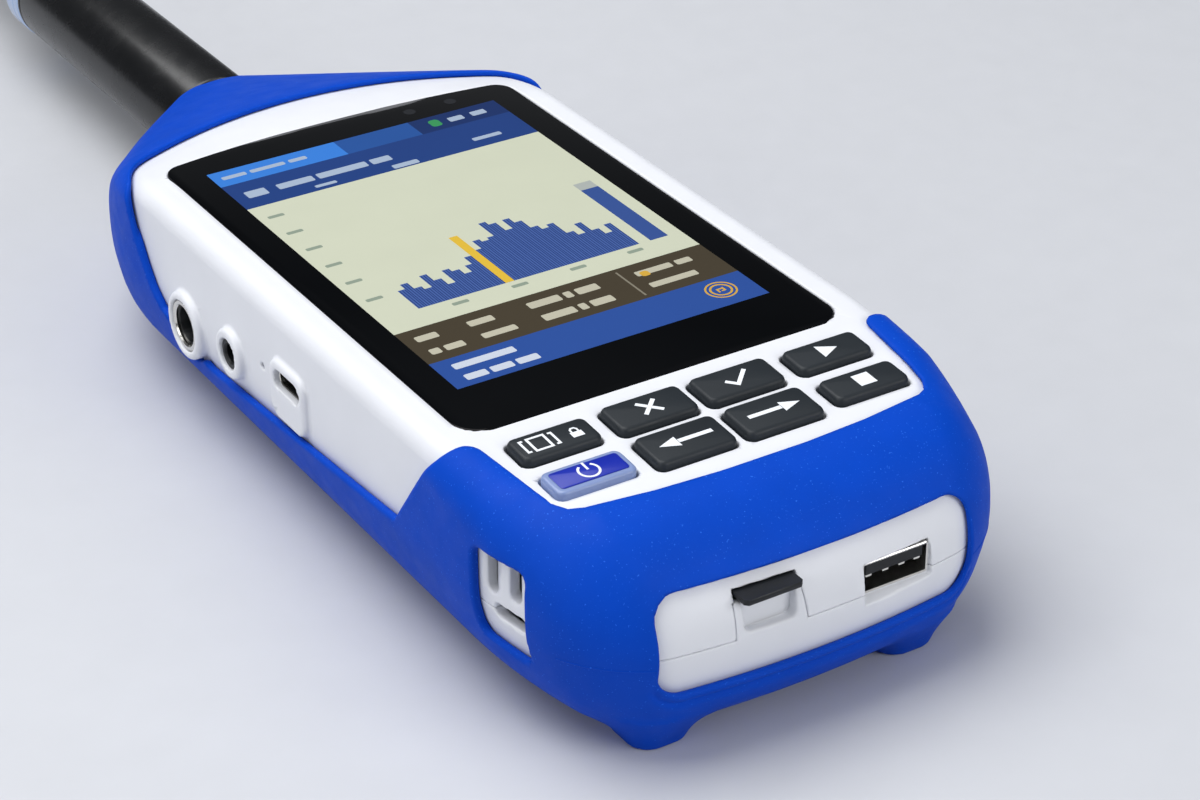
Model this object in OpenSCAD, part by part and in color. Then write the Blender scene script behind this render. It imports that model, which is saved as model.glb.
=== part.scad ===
// Handheld sound level meter with a measuring microphone and a rubber jacket.
// It lies on its back: +Z leaves the display, +Y runs to the microphone, z = 0 is under the feet.
// Inside the modules y = 0 is the lower edge of the display glass, and meter() moves it into the frame.

/* [Body] */
// Width of the white housing at its seam
body_w = 88; // [86:1:92]
// Height of the display face above the feet
face_z = 41.6; // [40.5:0.1:44]
// Distance from the glass down to the lower end panel
end_drop = 47; // [46:0.5:50]
// Distance from the glass up to the end of the white nose
nose_y = 170.5; // [168:0.5:176]
// Wall thickness of the housing shells
wall = 2.2; // [1.8:0.1:2.6]
// Slope of the key field below the display
key_tilt = 3.3; // [2.5:0.1:4]

/* [Jacket] */
// Thickness of the rubber jacket
jacket_t = 1.7; // [1.4:0.1:2.2]
// Half width of the jacket's lower end window
end_window_half = 29.8; // [27:0.1:31]

/* [Display] */
// Width of the cover glass
glass_w = 74.2; // [73:0.1:75]
// Length of the cover glass on its centre line
glass_l = 117.9; // [116:0.1:119]
// Radius of the bowed upper edge of the glass
glass_bow_r = 230; // [200:10:300]
// Thickness of the cover glass
glass_t = 1.1; // [0.8:0.1:1.3]

/* [Keys] */
// Height of a key above the face
key_rise = 1.3; // [0.9:0.1:1.6]
// Travel of a key
key_travel = 0.8; // [0.5:0.1:0.8]
// Gap round a key in its opening
key_gap = 0.3; // [0.25:0.05:0.4]

/* [Microphone] */
// Height of the microphone axis above the feet
axis_z = 19.7; // [19:0.1:21]
// Radius of the preamplifier barrel
barrel_r = 10.6; // [10:0.1:10.9]
// Length of the barrel up to the bright ring
barrel_l = 84; // [78:1:90]
// Radius of the measuring capsule
capsule_r = 6.35; // [6.3:0.05:6.4]

/* [Hidden] */
$fn = 48;
eps = 0.01;
hull_fn = 32;

// Seam between the shells: level at the lower end, then falling behind the side sockets
seam_z = face_z - 20.3;
seam_low_z = 13;
seam_line = [[-80, seam_z], [4, seam_z], [92, seam_low_z], [128, axis_z], [220, axis_z]];

// Housing sections: height, half width, lower end, upper end, lower and upper corner radius, side bow
half_w = body_w/2;
back_z = 3.4;
sections = [
    [face_z, half_w - 3.4, -3, 131.8, 6, 6, 2],
    [face_z - 1.55, half_w - 1.6, -30, 133.4, 8, 6, 2],
    [face_z - 3.6, half_w - 0.7, -36, 134.8, 9, 5, 1.8],
    [face_z - 10, half_w - 0.2, -end_drop + 2.2, 136, 10, 4, 1.3],
    [seam_z, half_w, -end_drop, 136, 10, 4, 1],
    [face_z - 28.5, half_w - 2.4, -end_drop + 1.6, 135, 10, 5, 1.3],
    [face_z - 34, half_w - 6, -end_drop + 6.5, 132, 10, 7, 1.8],
    [back_z, half_w - 9.5, -end_drop + 13.5, 128, 9, 9, 2]
];
top_bow_r = 90;
end_bow_r = 190;
side_bow_r = 95;
side_bow_y = -8;
end_arc_rise = 2.2;
nose_r = 10.8;
shoulder_y = 157;
shoulder_half = [26, 15];

// Display
glass_corner_r = 5;
module_w = 67;
module_y = 9;
module_l = 103;
module_t = 3;
gasket_t = 0.3;
glass_top_z = face_z - 0.1;
glass_low_z = glass_top_z - glass_t;

// Keys: x from, x to, y from, y to, measured on the sloping key field from the glass edge
col_out = [19.1, 33.8];
col_in = [0.95, 16.05];
row_top = [-13.3, -5.3];
row_top_out = [-12.9, -5.9];
row_low = [-24.3, -15.5];
row_low_out = [-23.2, -16.4];
field_y = -3;
key_flange = 0.7;
key_flange_t = 1.2;
key_depth = 4.3;
face_t = 2.6;
dome_r = 3.2;
dome_t = 0.35;
dome_gap = 0.15;
board_t = 1.6;
key_board_h = -(key_depth + key_travel + dome_gap + dome_t);

// Boards and sockets
main_board_z = 18.6;
front_board_z = 30.4;
usb_a_x = 14.6;
usb_a_z = 23.4;
usb_a_w = 13.2;
usb_a_h = 5.8;
usb_a_l = 14;
metal_t = 0.35;
card_x = -10.2;
card_z = 28.2;
card_w = 11;
card_l = 15;
card_t = 1;
card_proud = 1;
card_socket_y = -end_drop + 7.5;
tab_half = [7.1, 6];
tab_z = 27.4;
usb_c_y = 49.8;
usb_c_z = 28.7;
headphone_y = 72.5;
headphone_z = 24.6;
signal_y = 91.5;
signal_z = 21.6;
strap_y = -21;
groove_r = 1.3;
pinhole_y = 60.8;
pinhole_z = 27.4;
socket_face_x = -half_w - 1.5;
socket_back_x = -half_w + 6;

// Battery, kickstand and tripod insert
battery = [52, 46, 10];
battery_y = 1;
bay_gap = 0.4;
bay_wall = 1.2;
cover_t = 2;
cover_margin = 3;
cover_r = 3;
bay_top_z = back_z + cover_t + battery[2] + 0.6;
stand_y = 92;
stand_l = 54;
stand_w = 52;
stand_t = 2.6;
stand_axis_z = back_z + 2.4;
stand_barrel_r = 2.2;
stand_pin_r = 1.2;
finger_r = 6;
tripod_y = 108;
insert_r = 5.2;
tripod_bore_r = 2.6;
speaker_x = 21;
speaker_y = 106;
insert_l = 9;

// Housing screws, driven from the back into posts
screw_places = [[-27, -29], [27, -29], [-31, 119], [31, 119]];
post_r = 3.4;
screw_r = 1;
screw_head_r = 2.2;
screw_head_t = 1.8;
screw_head_z = back_z + 4;
screw_top_z = 30;

// Microphone
socket_r = 8.6;
socket_l = 16;
plug_r = 6.6;
plug_gap = 0.25;
plug_l = 12;
mic_y = nose_y + 0.4;
ring_l = 7;
neck_r = capsule_r - 0.35;
grid_r = capsule_r - 0.1;
neck_cone_l = 26;
neck_l = 34;
capsule_l = 12;
grid_l = 5.5;
ring_y = mic_y + barrel_l;
neck_y = ring_y + ring_l;
capsule_y = neck_y + neck_cone_l + neck_l;
tip_y = capsule_y + capsule_l + grid_l;

// Middle of the whole object, which becomes y = 0
card_end_y = -end_drop + 0.2 - card_proud;
mid_y = (card_end_y + tip_y)/2;

// Feet of the jacket: x from, x to, y from, y to
foot_x = [19.5, 28.5];
foot_low_y = [-39, -31];
foot_high_y = [112, 121];
foot_r = 3.2;

module meter() translate([0, -mid_y, 0]) children();
module along_y(y, z = 0, x = 0) translate([x, y, z]) rotate([-90, 0, 0]) children();
module along_x(x, y, z) translate([x, y, z]) rotate([0, 90, 0]) children();
module on_key_field() translate([0, field_y, face_z]) rotate([key_tilt, 0, 0]) children();

// Points of the shallow arc at the lower end of a section, and of the bowed one at its upper end
function end_arc(w, y) = [for (x = [-w:w/4:w]) [x, y + x*x/(2*end_bow_r)]];
function top_arc(w, y) = [for (x = [-w:w/6:w]) [x, y - x*x/(2*top_bow_r)]];

// How far a long side has curved inwards at y, on its way to the lower corner
function side_in(y, bow = 1) = y > side_bow_y ? 0 : bow*pow(side_bow_y - y, 2)/(2*side_bow_r);

module section_slab(s, g) {
    w = s[1] + g;
    y = s[2] - g;
    r = s[4] + g;
    top = s[3] + g;
    top_r = s[5] + g;
    corner_y = y + r + end_arc_rise;
    top_y = top - pow(w - top_r, 2)/(2*top_bow_r) - top_r;
    translate([0, 0, s[0]]) linear_extrude(eps) {
        for (side = [-1, 1]) {
            translate([side*(w - side_in(corner_y, s[6]) - r), corner_y]) circle(r, $fn = hull_fn);
            translate([side*(w - top_r), top_y]) circle(top_r, $fn = hull_fn);
            if (corner_y < side_bow_y) polygon(concat([[0, 0], [side*(w - 1), 20]],
                [for (y = [side_bow_y:-5:corner_y]) [side*(w - side_in(y, s[6])), y]]));
        }
        polygon(concat(end_arc(w - r, y), [[w - r, y + 6], [r - w, y + 6]]));
        polygon(concat(top_arc(w - top_r, top), [[0, top - 20]]));
    }
}

// The housing's outer form, grown outwards by g; lift raises the upper sections
module body_form(g = 0, lift = 0) hull() {
    for (s = sections) translate([0, 0, s[0] > seam_z ? lift : s[0] < seam_z ? -g : 0]) section_slab(s, g);
    along_y(shoulder_y, axis_z) linear_extrude(eps) scale([1, (shoulder_half[1] + g)/(shoulder_half[0] + g)])
        circle(shoulder_half[0] + g, $fn = hull_fn);
    along_y(nose_y - 2 + g, axis_z) cylinder(h = 2, r = nose_r + g, $fn = hull_fn);
}

module above_seam(x = 100) rotate([90, 0, 90]) translate([0, 0, -x])
    linear_extrude(2*x) polygon(concat(seam_line, [[220, 80], [-80, 80]]));

module below_seam(x = 100) rotate([90, 0, 90]) translate([0, 0, -x])
    linear_extrude(2*x) polygon(concat(seam_line, [[220, -20], [-80, -20]]));

// Outline of the glass, grown by g
module glass_outline(g = 0) {
    w = glass_w/2 + g;
    r = glass_corner_r + g;
    intersection() {
        union() {
            for (side = [-1, 1]) {
                translate([side*(w - r), r - g]) circle(r);
                translate([side*(w - r), glass_l - 9]) circle(r);
            }
            translate([-w, r - g]) square([2*w, glass_l - 9 - r + g]);
            translate([r - w, -g]) square([2*(w - r), glass_l + 2*g]);
        }
        translate([0, glass_l + g - glass_bow_r]) circle(glass_bow_r, $fn = 180);
    }
}

// Slightly flared trapezoid tab of the rear shell round the card slot
module tab_outline(g = 0) polygon([
    [card_x - tab_half[1] - g, seam_z - 1], [card_x - tab_half[1] - g, tab_z + g],
    [card_x + tab_half[1] + g, tab_z + g], [card_x + tab_half[0] + g + 0.6, seam_z - 1]
]);
module tab_block(g = 0, depth = 4) translate([0, -end_drop + depth, 0]) rotate([90, 0, 0])
    linear_extrude(depth + 5) tab_outline(g);

// Rounded bar standing along X, used for openings in the left side
module side_slot(y, z, len, h, x0, x1) translate([x0, 0, 0]) rotate([90, 0, 90]) linear_extrude(x1 - x0) {
    for (s = [-1, 1]) translate([y + s*(len - h)/2, z]) circle(h/2);
    translate([y - (len - h)/2, z - h/2]) square([len - h, h]);
}

// Rounded rectangle standing on a side wall: y range, z range, corner radius, x from, x to
module upright_plate(y, z, r, x0, x1) translate([x0, 0, 0]) rotate([90, 0, 90]) linear_extrude(x1 - x0) {
    for (a = [y[0] + r, y[1] - r], b = [z[0] + r, z[1] - r]) translate([a, b]) circle(r);
    translate([y[0] + r, z[0]]) square([y[1] - y[0] - 2*r, z[1] - z[0]]);
    translate([y[0], z[0] + r]) square([y[1] - y[0], z[1] - z[0] - 2*r]);
}

module rounded_box(size, r) linear_extrude(size[2]) {
    for (x = [r, size[0] - r], y = [r, size[1] - r]) translate([x, y]) circle(r);
    translate([r, 0]) square([size[0] - 2*r, size[1]]);
    translate([0, r]) square([size[0], size[1] - 2*r]);
}

module key_prism(k, g, h0, h1, r = 1.4) translate([k[0] - g, k[2] - field_y - g, h0])
    rounded_box([k[1] - k[0] + 2*g, k[3] - k[2] + 2*g, h1 - h0], r);

function mirrored(c) = [-c[1], -c[0]];
function key_at(cols, rows) = concat(cols, rows);
KEYS = [
    key_at(mirrored(col_out), row_top_out), key_at(mirrored(col_in), row_top),
    key_at(col_in, row_top), key_at(col_out, row_top_out),
    key_at(mirrored(col_out), row_low_out), key_at(mirrored(col_in), row_low),
    key_at(col_in, row_low), key_at(col_out, row_low_out)
];

// Sockets on the left side: every opening that both the shell and its collar need
module side_openings(x0) {
    side_slot(usb_c_y, usb_c_z, 9.6, 3.9, x0, socket_back_x);
    along_x(x0, headphone_y, headphone_z) cylinder(h = socket_back_x - x0, r = 3.05);
    along_x(x0, signal_y, signal_z) cylinder(h = socket_back_x - x0, r = 5.05);
    along_x(x0, pinhole_y, pinhole_z) cylinder(h = socket_back_x - x0, r = 0.6, $fn = 24);
}

module usb_a_opening() translate([usb_a_x - usb_a_w/2 - 0.1, -60, usb_a_z - usb_a_h/2 - 0.1])
    cube([usb_a_w + 0.2, 24, usb_a_h + 0.2]);

module side_collars() {
    along_x(socket_face_x, headphone_y, headphone_z) cylinder(h = 5, r = 4.8);
    along_x(socket_face_x, signal_y, signal_z) cylinder(h = 5, r = 6.6);
    upright_plate([usb_c_y - 6.5, usb_c_y + 6.5], [usb_c_z - 8, usb_c_z + 3.6], 3,
        socket_face_x + 0.5, -half_w + 3);
}

// The strap slot with its two round-ended grooves, cut into one side
module strap_slot(side) scale([side, 1, 1]) {
    side_slot(strap_y - 1.5, seam_z + 0.2, 8, 2.8, half_w - 8, half_w + 5);
    for (y = [strap_y + 2.7, strap_y - 3]) translate([half_w - 2.2 - side_in(y), y, seam_z + 4.4]) {
        rotate([0, 90, 0]) cylinder(h = 8, r = groove_r);
        translate([0, -groove_r, 0]) cube([8, 2*groove_r, 9.5]);
    }
}

// Block of the battery's plan grown by g, from height z0 up to z1, with corner radius r
module bay_block(g, z1, r, z0 = -1) translate([-battery[0]/2 - g, battery_y - battery[1]/2 - g, z0])
    rounded_box([battery[0] + 2*g, battery[1] + 2*g, z1 - z0], r);

module front_shell() color("white") meter() difference() {
    intersection() {
        union() {
            body_form();
            side_collars();
        }
        above_seam();
    }
    difference() {
        body_form(-wall, -face_t);
        translate([-50, -31, face_z - 9]) cube([100, 3, 20]);
        along_y(150, axis_z) difference() {
            cylinder(h = 40, r = 40);
            translate([0, 0, -1]) cylinder(h = 10, r = 40);
        }
        for (p = screw_places) translate([p[0], p[1], 0]) cylinder(h = 60, r = post_r);
    }
    for (p = screw_places) translate([p[0], p[1], 0]) cylinder(h = screw_top_z, r = screw_r);
    translate([0, 0, glass_low_z - gasket_t]) linear_extrude(9) glass_outline(0.15);
    translate([-module_w/2 - 0.4, module_y - 0.4, face_z - 12]) cube([module_w + 0.8, module_l + 0.8, 12]);
    on_key_field() {
        for (k = KEYS) key_prism(k, key_gap, -6, 4);
        translate([-36, -24, -9]) cube([72, 24, 9 - face_t]);
    }
    side_openings(socket_face_x - 1);
    tab_block(0.12);
    for (side = [-1, 1]) strap_slot(side);
    usb_a_opening();
    translate([card_x - card_w/2 - 0.3, -60, card_z - 0.25]) cube([card_w + 0.6, 24, card_t + 0.5]);
    along_y(146, axis_z) cylinder(h = 40, r = socket_r);
}

module rear_shell() color("white") meter() difference() {
    union() {
        difference() {
            intersection() {
                union() {
                    body_form();
                    side_collars();
                }
                below_seam();
            }
            difference() {
                body_form(-wall, -face_t);
                translate([-stand_w/2 - 4, stand_y - stand_l - 5, 0]) cube([stand_w + 8, stand_l + 10, 11]);
                bay_block(cover_margin + 4, back_z + cover_t + 1.4, 0.1);
                bay_block(bay_gap + bay_wall, bay_top_z + bay_wall, 0.1);
                translate([0, tripod_y, 0]) cylinder(h = back_z + insert_l + 2, r = insert_r + 2.5);
                for (p = screw_places) translate([p[0], p[1], 0]) cylinder(h = 60, r = post_r);
                along_y(150, axis_z) difference() {
                    cylinder(h = 40, r = 40);
                    translate([0, 0, -1]) cylinder(h = 10, r = 40);
                }
            }
        }
        intersection() {
            tab_block(0, 3);
            body_form();
        }
    }
    // battery bay and the recess of its cover
    bay_block(bay_gap, bay_top_z, 0.2);
    bay_block(cover_margin + 0.2, back_z + cover_t, cover_r + 0.2);
    // kickstand recess, with a finger notch at the free end
    translate([-stand_w/2 - 0.4, stand_y - stand_l - 0.4, -1])
        cube([stand_w + 0.8, stand_l + 0.4 - 3, 1 + back_z + stand_t + 0.3]);
    translate([-stand_w/2 - 0.4, stand_y - 3.2, -1])
        cube([stand_w + 0.8, 6.2, 1 + stand_axis_z + stand_barrel_r + 0.4]);
    translate([0, stand_y - stand_l - 1, -1]) cylinder(h = 1 + back_z + stand_t + 0.3, r = finger_r);
    along_x(-stand_w/2 - 3, stand_y, stand_axis_z) cylinder(h = stand_w + 6, r = stand_pin_r);
    translate([0, tripod_y, -1]) cylinder(h = 1 + back_z + insert_l, r = insert_r);
    // finger recess under the card and the card's own slot
    translate([card_x - 5.6, -60, tab_z - 6.4]) cube([11.2, 60 - end_drop + 1.6, 6.4 + 3]);
    translate([card_x - card_w/2 - 0.3, -60, card_z - 0.25]) cube([card_w + 0.6, 24, card_t + 0.5]);
    usb_a_opening();
    side_openings(socket_face_x - 1);
    for (side = [-1, 1]) strap_slot(side);
    along_y(146, axis_z) cylinder(h = 40, r = socket_r);
    for (i = [-2:2], j = [-2:2]) translate([speaker_x + 2.2*i, speaker_y + 2.2*j, -1])
        cylinder(h = 9, r = 0.7, $fn = 24);
    for (p = screw_places) translate([p[0], p[1], -1]) {
        cylinder(h = 1 + screw_head_z + screw_head_t, r = screw_head_r + 0.2);
        cylinder(h = 1 + screw_top_z, r = screw_r + 0.15);
    }
}

// Side view of the jacket's large side cut-outs, swept across the whole width
module jacket_side_cut() rotate([90, 0, 90]) translate([0, 0, -60]) linear_extrude(120) polygon([
    [9.5, face_z - 18], [-3.4, face_z + 0.6], [-3.4, 60], [116.5, 60], [115.5, face_z - 9],
    [110, face_z - 15.5], [101, face_z - 20.6], [84, face_z - 25.4], [40, face_z - 20.9]
]);

// Plan of the jacket's opening round the keys and the glass
module jacket_face_cut() linear_extrude(80) {
    for (side = [-1, 1]) translate([side*30, -22.8]) circle(5.5);
    polygon([[-35.5, -22.8], [35.5, -22.8], [37.4, -3], [37.4, 40], [-37.4, 40], [-37.4, -3]]);
    intersection() {
        translate([-30, -29.6]) square([60, 20]);
        translate([0, end_bow_r - 29.6]) circle(end_bow_r, $fn = 180);
    }
    intersection() {
        translate([-42, 30]) square([84, 110]);
        translate([0, 131.8 - top_bow_r]) circle(top_bow_r, $fn = 180);
    }
}

// The same opening where it runs off the face over both upper corners
module jacket_corner_cut() linear_extrude(80) intersection() {
    translate([-60, 60]) square([120, 80]);
    translate([0, 131.8 - top_bow_r]) circle(top_bow_r, $fn = 180);
}

module rounded_end_window(half, z0, z1, r) translate([0, -30, 0]) rotate([90, 0, 0]) linear_extrude(40) {
    for (x = [r - half, half - r], z = [z0 + r, z1 - r]) translate([x, z]) circle(r);
    translate([r - half, z0]) square([2*(half - r), z1 - z0]);
    translate([-half, z0 + r]) square([2*half, z1 - z0 - 2*r]);
}

module foot(x, y, h) translate([x[0], y[0], 0]) linear_extrude(h) {
    square([x[1] - x[0] - foot_r, y[1] - y[0]]);
    translate([0, foot_r]) square([x[1] - x[0], y[1] - y[0] - foot_r]);
    translate([x[1] - x[0] - foot_r, foot_r]) circle(foot_r);
}

module protective_jacket() color("royalblue") meter() difference() {
    union() {
        body_form(jacket_t, 0.9);
        for (side = [-1, 1]) scale([side, 1, 1]) {
            hull() {
                foot(foot_x, foot_low_y, 2);
                translate([0, 0, back_z + 3])
                    foot([foot_x[0], foot_x[1] + 1.5], [foot_low_y[0] + 0.5, foot_low_y[1]], 2);
            }
            foot(foot_x, foot_high_y, back_z);
        }
    }
    body_form();
    side_collars();
    jacket_side_cut();
    translate([0, 0, seam_z]) jacket_face_cut();
    translate([0, 0, face_z - 2.4]) jacket_corner_cut();
    rounded_end_window(end_window_half, face_z - 27, face_z - 10, 4.2);
    for (side = [-1, 1]) scale([side, 1, 1])
        upright_plate([strap_y - 6.8, strap_y + 5.8], [face_z - 26, face_z - 9.3], 2,
            half_w - 12, half_w + 5);
    translate([-30.5, -27.5, -1]) rounded_box([61, 138.5, back_z + 2], 6);
    along_x(-half_w - 5, headphone_y, headphone_z) cylinder(h = 8, r = 5.3);
    along_x(-half_w - 5, signal_y, signal_z) cylinder(h = 8, r = 7.1);
    along_y(nose_y - 1, axis_z) cylinder(h = 20, r = barrel_r + 0.3);
}

module display_glass() color("black") meter() translate([0, 0, glass_low_z])
    linear_extrude(glass_t) glass_outline();

module glass_gasket() color("dimgray") meter() translate([0, 0, glass_low_z - gasket_t])
    linear_extrude(gasket_t) difference() {
        glass_outline(-0.3);
        translate([-module_w/2 - 0.4, module_y - 0.4]) square([module_w + 0.8, module_l + 0.8]);
    }

module display_module() color("slategray") meter()
    translate([-module_w/2, module_y, glass_low_z - module_t]) cube([module_w, module_l, module_t]);

module key(i, tone) color(tone) meter() on_key_field() {
    k = KEYS[i];
    key_prism(k, 0, -key_depth + key_flange_t - eps, key_rise, 1.4);
    key_prism(k, key_flange, -key_depth, -key_depth + key_flange_t, 1.4);
}
module key_page() key(0, "darkslategray");
module key_escape() key(1, "darkslategray");
module key_ok() key(2, "darkslategray");
module key_start() key(3, "darkslategray");
module key_left() key(5, "darkslategray");
module key_right() key(6, "darkslategray");
module key_stop() key(7, "darkslategray");

cap_inset = 1.1;
cap_t = 0.6;
module power_cap() color("mediumblue") meter() on_key_field()
    key_prism(KEYS[4], -cap_inset, key_rise - cap_t, key_rise, 0.5);
module key_power() difference() {
    key(4, "lightsteelblue");
    meter() on_key_field() key_prism(KEYS[4], -cap_inset, key_rise - cap_t, key_rise + 1, 0.5);
}

module key_domes() color("silver") meter() on_key_field() for (k = KEYS)
    translate([(k[0] + k[1])/2, (k[2] + k[3])/2 - field_y, key_board_h]) cylinder(h = dome_t, r = dome_r);

module keypad_board() color("seagreen") meter() on_key_field()
    translate([-35.5, -23.6, key_board_h - board_t]) cube([71, 22, board_t]);

module front_board() color("seagreen") meter() difference() {
    translate([-34.5, -31, front_board_z]) cube([69, 143, board_t]);
    for (p = screw_places) translate([p[0], p[1], front_board_z - 1]) cylinder(h = 4, r = post_r + 0.6);
}

module main_board() color("seagreen") meter() difference() {
    union() {
        translate([-36, -22, main_board_z]) cube([72, 138, board_t]);
        translate([-29, -41, main_board_z]) cube([58, 20, board_t]);
    }
    for (p = screw_places) translate([p[0], p[1], main_board_z - 1]) cylinder(h = 4, r = post_r + 0.6);
    translate([-60, signal_y - 7, main_board_z - 1]) cube([60 - half_w + 17, 14, 4]);
    translate([card_x - 8, -60, main_board_z - 1]) cube([16, 60 - end_drop + 5, 4]);
}

module card_socket() color("silver") meter() difference() {
    translate([card_x - card_w/2 - 1.2, card_socket_y, card_z - 0.9])
        cube([card_w + 2.4, 14, front_board_z - card_z + 0.9]);
    translate([card_x - card_w/2 - 0.3, -60, card_z - 0.25])
        cube([card_w + 0.6, 60 - end_drop + 19, card_t + 0.5]);
}

module memory_card() color("black") meter()
    translate([card_x - card_w/2, card_end_y, card_z]) cube([card_w, card_l, card_t]);

module usb_a_shell() color("silver") meter()
    translate([usb_a_x - usb_a_w/2, -end_drop + 1.4, usb_a_z - usb_a_h/2]) difference() {
        cube([usb_a_w, usb_a_l, usb_a_h]);
        translate([metal_t, -1, metal_t]) cube([usb_a_w - 2*metal_t, usb_a_l, usb_a_h - 2*metal_t]);
    }

module usb_a_tongue() color("black") meter()
    translate([usb_a_x - 5.6, -end_drop + 2.6, usb_a_z + 0.3]) cube([11.2, usb_a_l - 2.2, 1.9]);

module usb_c_shell() color("silver") meter() difference() {
    side_slot(usb_c_y, usb_c_z, 8.94, 3.26, socket_face_x + 1.6, socket_face_x + 9);
    side_slot(usb_c_y, usb_c_z, 8.34, 2.66, socket_face_x, socket_face_x + 8.4);
}

module usb_c_tongue() color("black") meter()
    translate([socket_face_x + 2.6, usb_c_y - 3.3, usb_c_z - 0.35]) cube([5.8, 6.6, 0.7]);

headphone_bore_r = 1.8;
module headphone_jack() color("black") meter() difference() {
    union() {
        along_x(socket_face_x + 0.6, headphone_y, headphone_z) cylinder(h = 5, r = 3);
        translate([socket_face_x + 4.2, headphone_y - 3.4, main_board_z + board_t]) cube([12, 6.8, 7.8]);
    }
    along_x(socket_face_x - 1, headphone_y, headphone_z) cylinder(h = 16, r = headphone_bore_r);
}

signal_bore_r = 3.4;
module signal_jack_ring() color("silver") meter() along_x(socket_face_x + 0.3, signal_y, signal_z) difference() {
    cylinder(h = 9, r = 5);
    translate([0, 0, -1]) cylinder(h = 12, r = signal_bore_r + 0.4);
}
module signal_jack_insert() color("black") meter() along_x(socket_face_x + 1.2, signal_y, signal_z) difference() {
    cylinder(h = 11, r = signal_bore_r + 0.4);
    translate([0, 0, -1]) cylinder(h = 9, r = signal_bore_r);
}

module note_microphone() color("silver") meter()
    along_x(-half_w + 2.9, pinhole_y, pinhole_z) cylinder(h = 1.4, r = 1.9);

module speaker() color("black") meter() translate([speaker_x, speaker_y, back_z + wall]) cylinder(h = 4.5, r = 8);

module battery_pack() color("dimgray") meter() translate([-battery[0]/2, battery_y - battery[1]/2, back_z + cover_t + 0.1])
    rounded_box(battery, 2);

module battery_contacts() color("gold") meter() for (i = [-1:1])
    translate([i*6 - 1.5, battery_y + battery[1]/2 + bay_gap - 0.3, back_z + cover_t + 2]) cube([3, 0.3, 4]);

module battery_cover() color("white") meter()
    bay_block(cover_margin, back_z + cover_t - 0.1, cover_r, back_z);

module kickstand() color("dimgray") meter() difference() {
    union() {
        translate([-stand_w/2, stand_y - stand_l, back_z]) cube([stand_w, stand_l - 2.6, stand_t - 0.2]);
        translate([-stand_w/2, stand_y - 6, stand_axis_z - 1.6]) cube([stand_w, 6, 2]);
        along_x(-stand_w/2, stand_y, stand_axis_z) cylinder(h = stand_w, r = stand_barrel_r);
    }
    along_x(-stand_w/2 - 1, stand_y, stand_axis_z) cylinder(h = stand_w + 2, r = stand_pin_r + 0.1);
    translate([-stand_w/2 + 9, stand_y - stand_l + 12, back_z - 1]) cube([stand_w - 18, stand_l - 26, 6]);
}

module kickstand_pin() color("silver") meter()
    along_x(-stand_w/2 - 3, stand_y, stand_axis_z) cylinder(h = stand_w + 6, r = stand_pin_r);

module tripod_insert() color("goldenrod") meter() translate([0, tripod_y, back_z]) difference() {
    cylinder(h = insert_l, r = insert_r);
    translate([0, 0, -1]) cylinder(h = insert_l - 0.5, r = tripod_bore_r);
}

module housing_screws() color("silver") meter() for (p = screw_places) translate([p[0], p[1], screw_head_z]) {
    cylinder(h = screw_head_t, r = screw_head_r);
    cylinder(h = screw_top_z - screw_head_z, r = screw_r);
}

module microphone_socket() color("silver") meter() along_y(nose_y - socket_l, axis_z) difference() {
    cylinder(h = socket_l, r = socket_r);
    translate([0, 0, socket_l - plug_l - 0.8]) cylinder(h = plug_l + 4, r = plug_r + plug_gap);
}

module microphone_plug() color("silver") meter() along_y(mic_y - plug_l, axis_z) difference() {
    cylinder(h = plug_l, r = plug_r);
    translate([0, 0, -1]) cylinder(h = 7, r = plug_r - 1);
}

module preamp_barrel() color("black") meter() along_y(mic_y, axis_z) rotate_extrude() polygon([
    [0, 0], [barrel_r - 0.6, 0], [barrel_r, 0.6], [barrel_r, barrel_l], [0, barrel_l]
]);

module preamp_ring() color("lightsteelblue") meter() along_y(ring_y, axis_z) rotate_extrude() polygon([
    [0, 0], [barrel_r, 0], [barrel_r + 0.2, 0.5], [barrel_r + 0.2, ring_l - 0.5], [barrel_r, ring_l], [0, ring_l]
]);

module preamp_neck() color("black") meter() along_y(neck_y, axis_z) rotate_extrude() polygon([
    [0, 0], [barrel_r - 0.3, 0], [neck_r, neck_cone_l], [neck_r, neck_cone_l + neck_l], [0, neck_cone_l + neck_l]
]);

module microphone_capsule() color("silver") meter() along_y(capsule_y, axis_z) cylinder(h = capsule_l, r = capsule_r);

module protection_grid() color("silver") meter() along_y(capsule_y + capsule_l, axis_z) difference() {
    cylinder(h = grid_l, r = grid_r);
    translate([0, 0, -1]) cylinder(h = grid_l + 0.2, r = grid_r - 0.6);
    for (a = [0:45:315]) rotate(a) translate([3.6, 0, 3]) cylinder(h = 9, r = 0.8, $fn = 24);
    translate([0, 0, 3]) cylinder(h = 9, r = 0.9, $fn = 24);
}

front_shell();
rear_shell();
protective_jacket();
display_glass();
glass_gasket();
display_module();
key_page();
key_escape();
key_ok();
key_start();
key_power();
power_cap();
key_left();
key_right();
key_stop();
key_domes();
keypad_board();
front_board();
main_board();
card_socket();
memory_card();
usb_a_shell();
usb_a_tongue();
usb_c_shell();
usb_c_tongue();
headphone_jack();
signal_jack_ring();
signal_jack_insert();
note_microphone();
speaker();
battery_pack();
battery_contacts();
battery_cover();
kickstand();
kickstand_pin();
tripod_insert();
housing_screws();
microphone_socket();
microphone_plug();
preamp_barrel();
preamp_ring();
preamp_neck();
microphone_capsule();
protection_grid();
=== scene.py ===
import math
import random

import bmesh
import bpy
import numpy as np
import openvdb
from mathutils import Matrix, Vector


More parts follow.
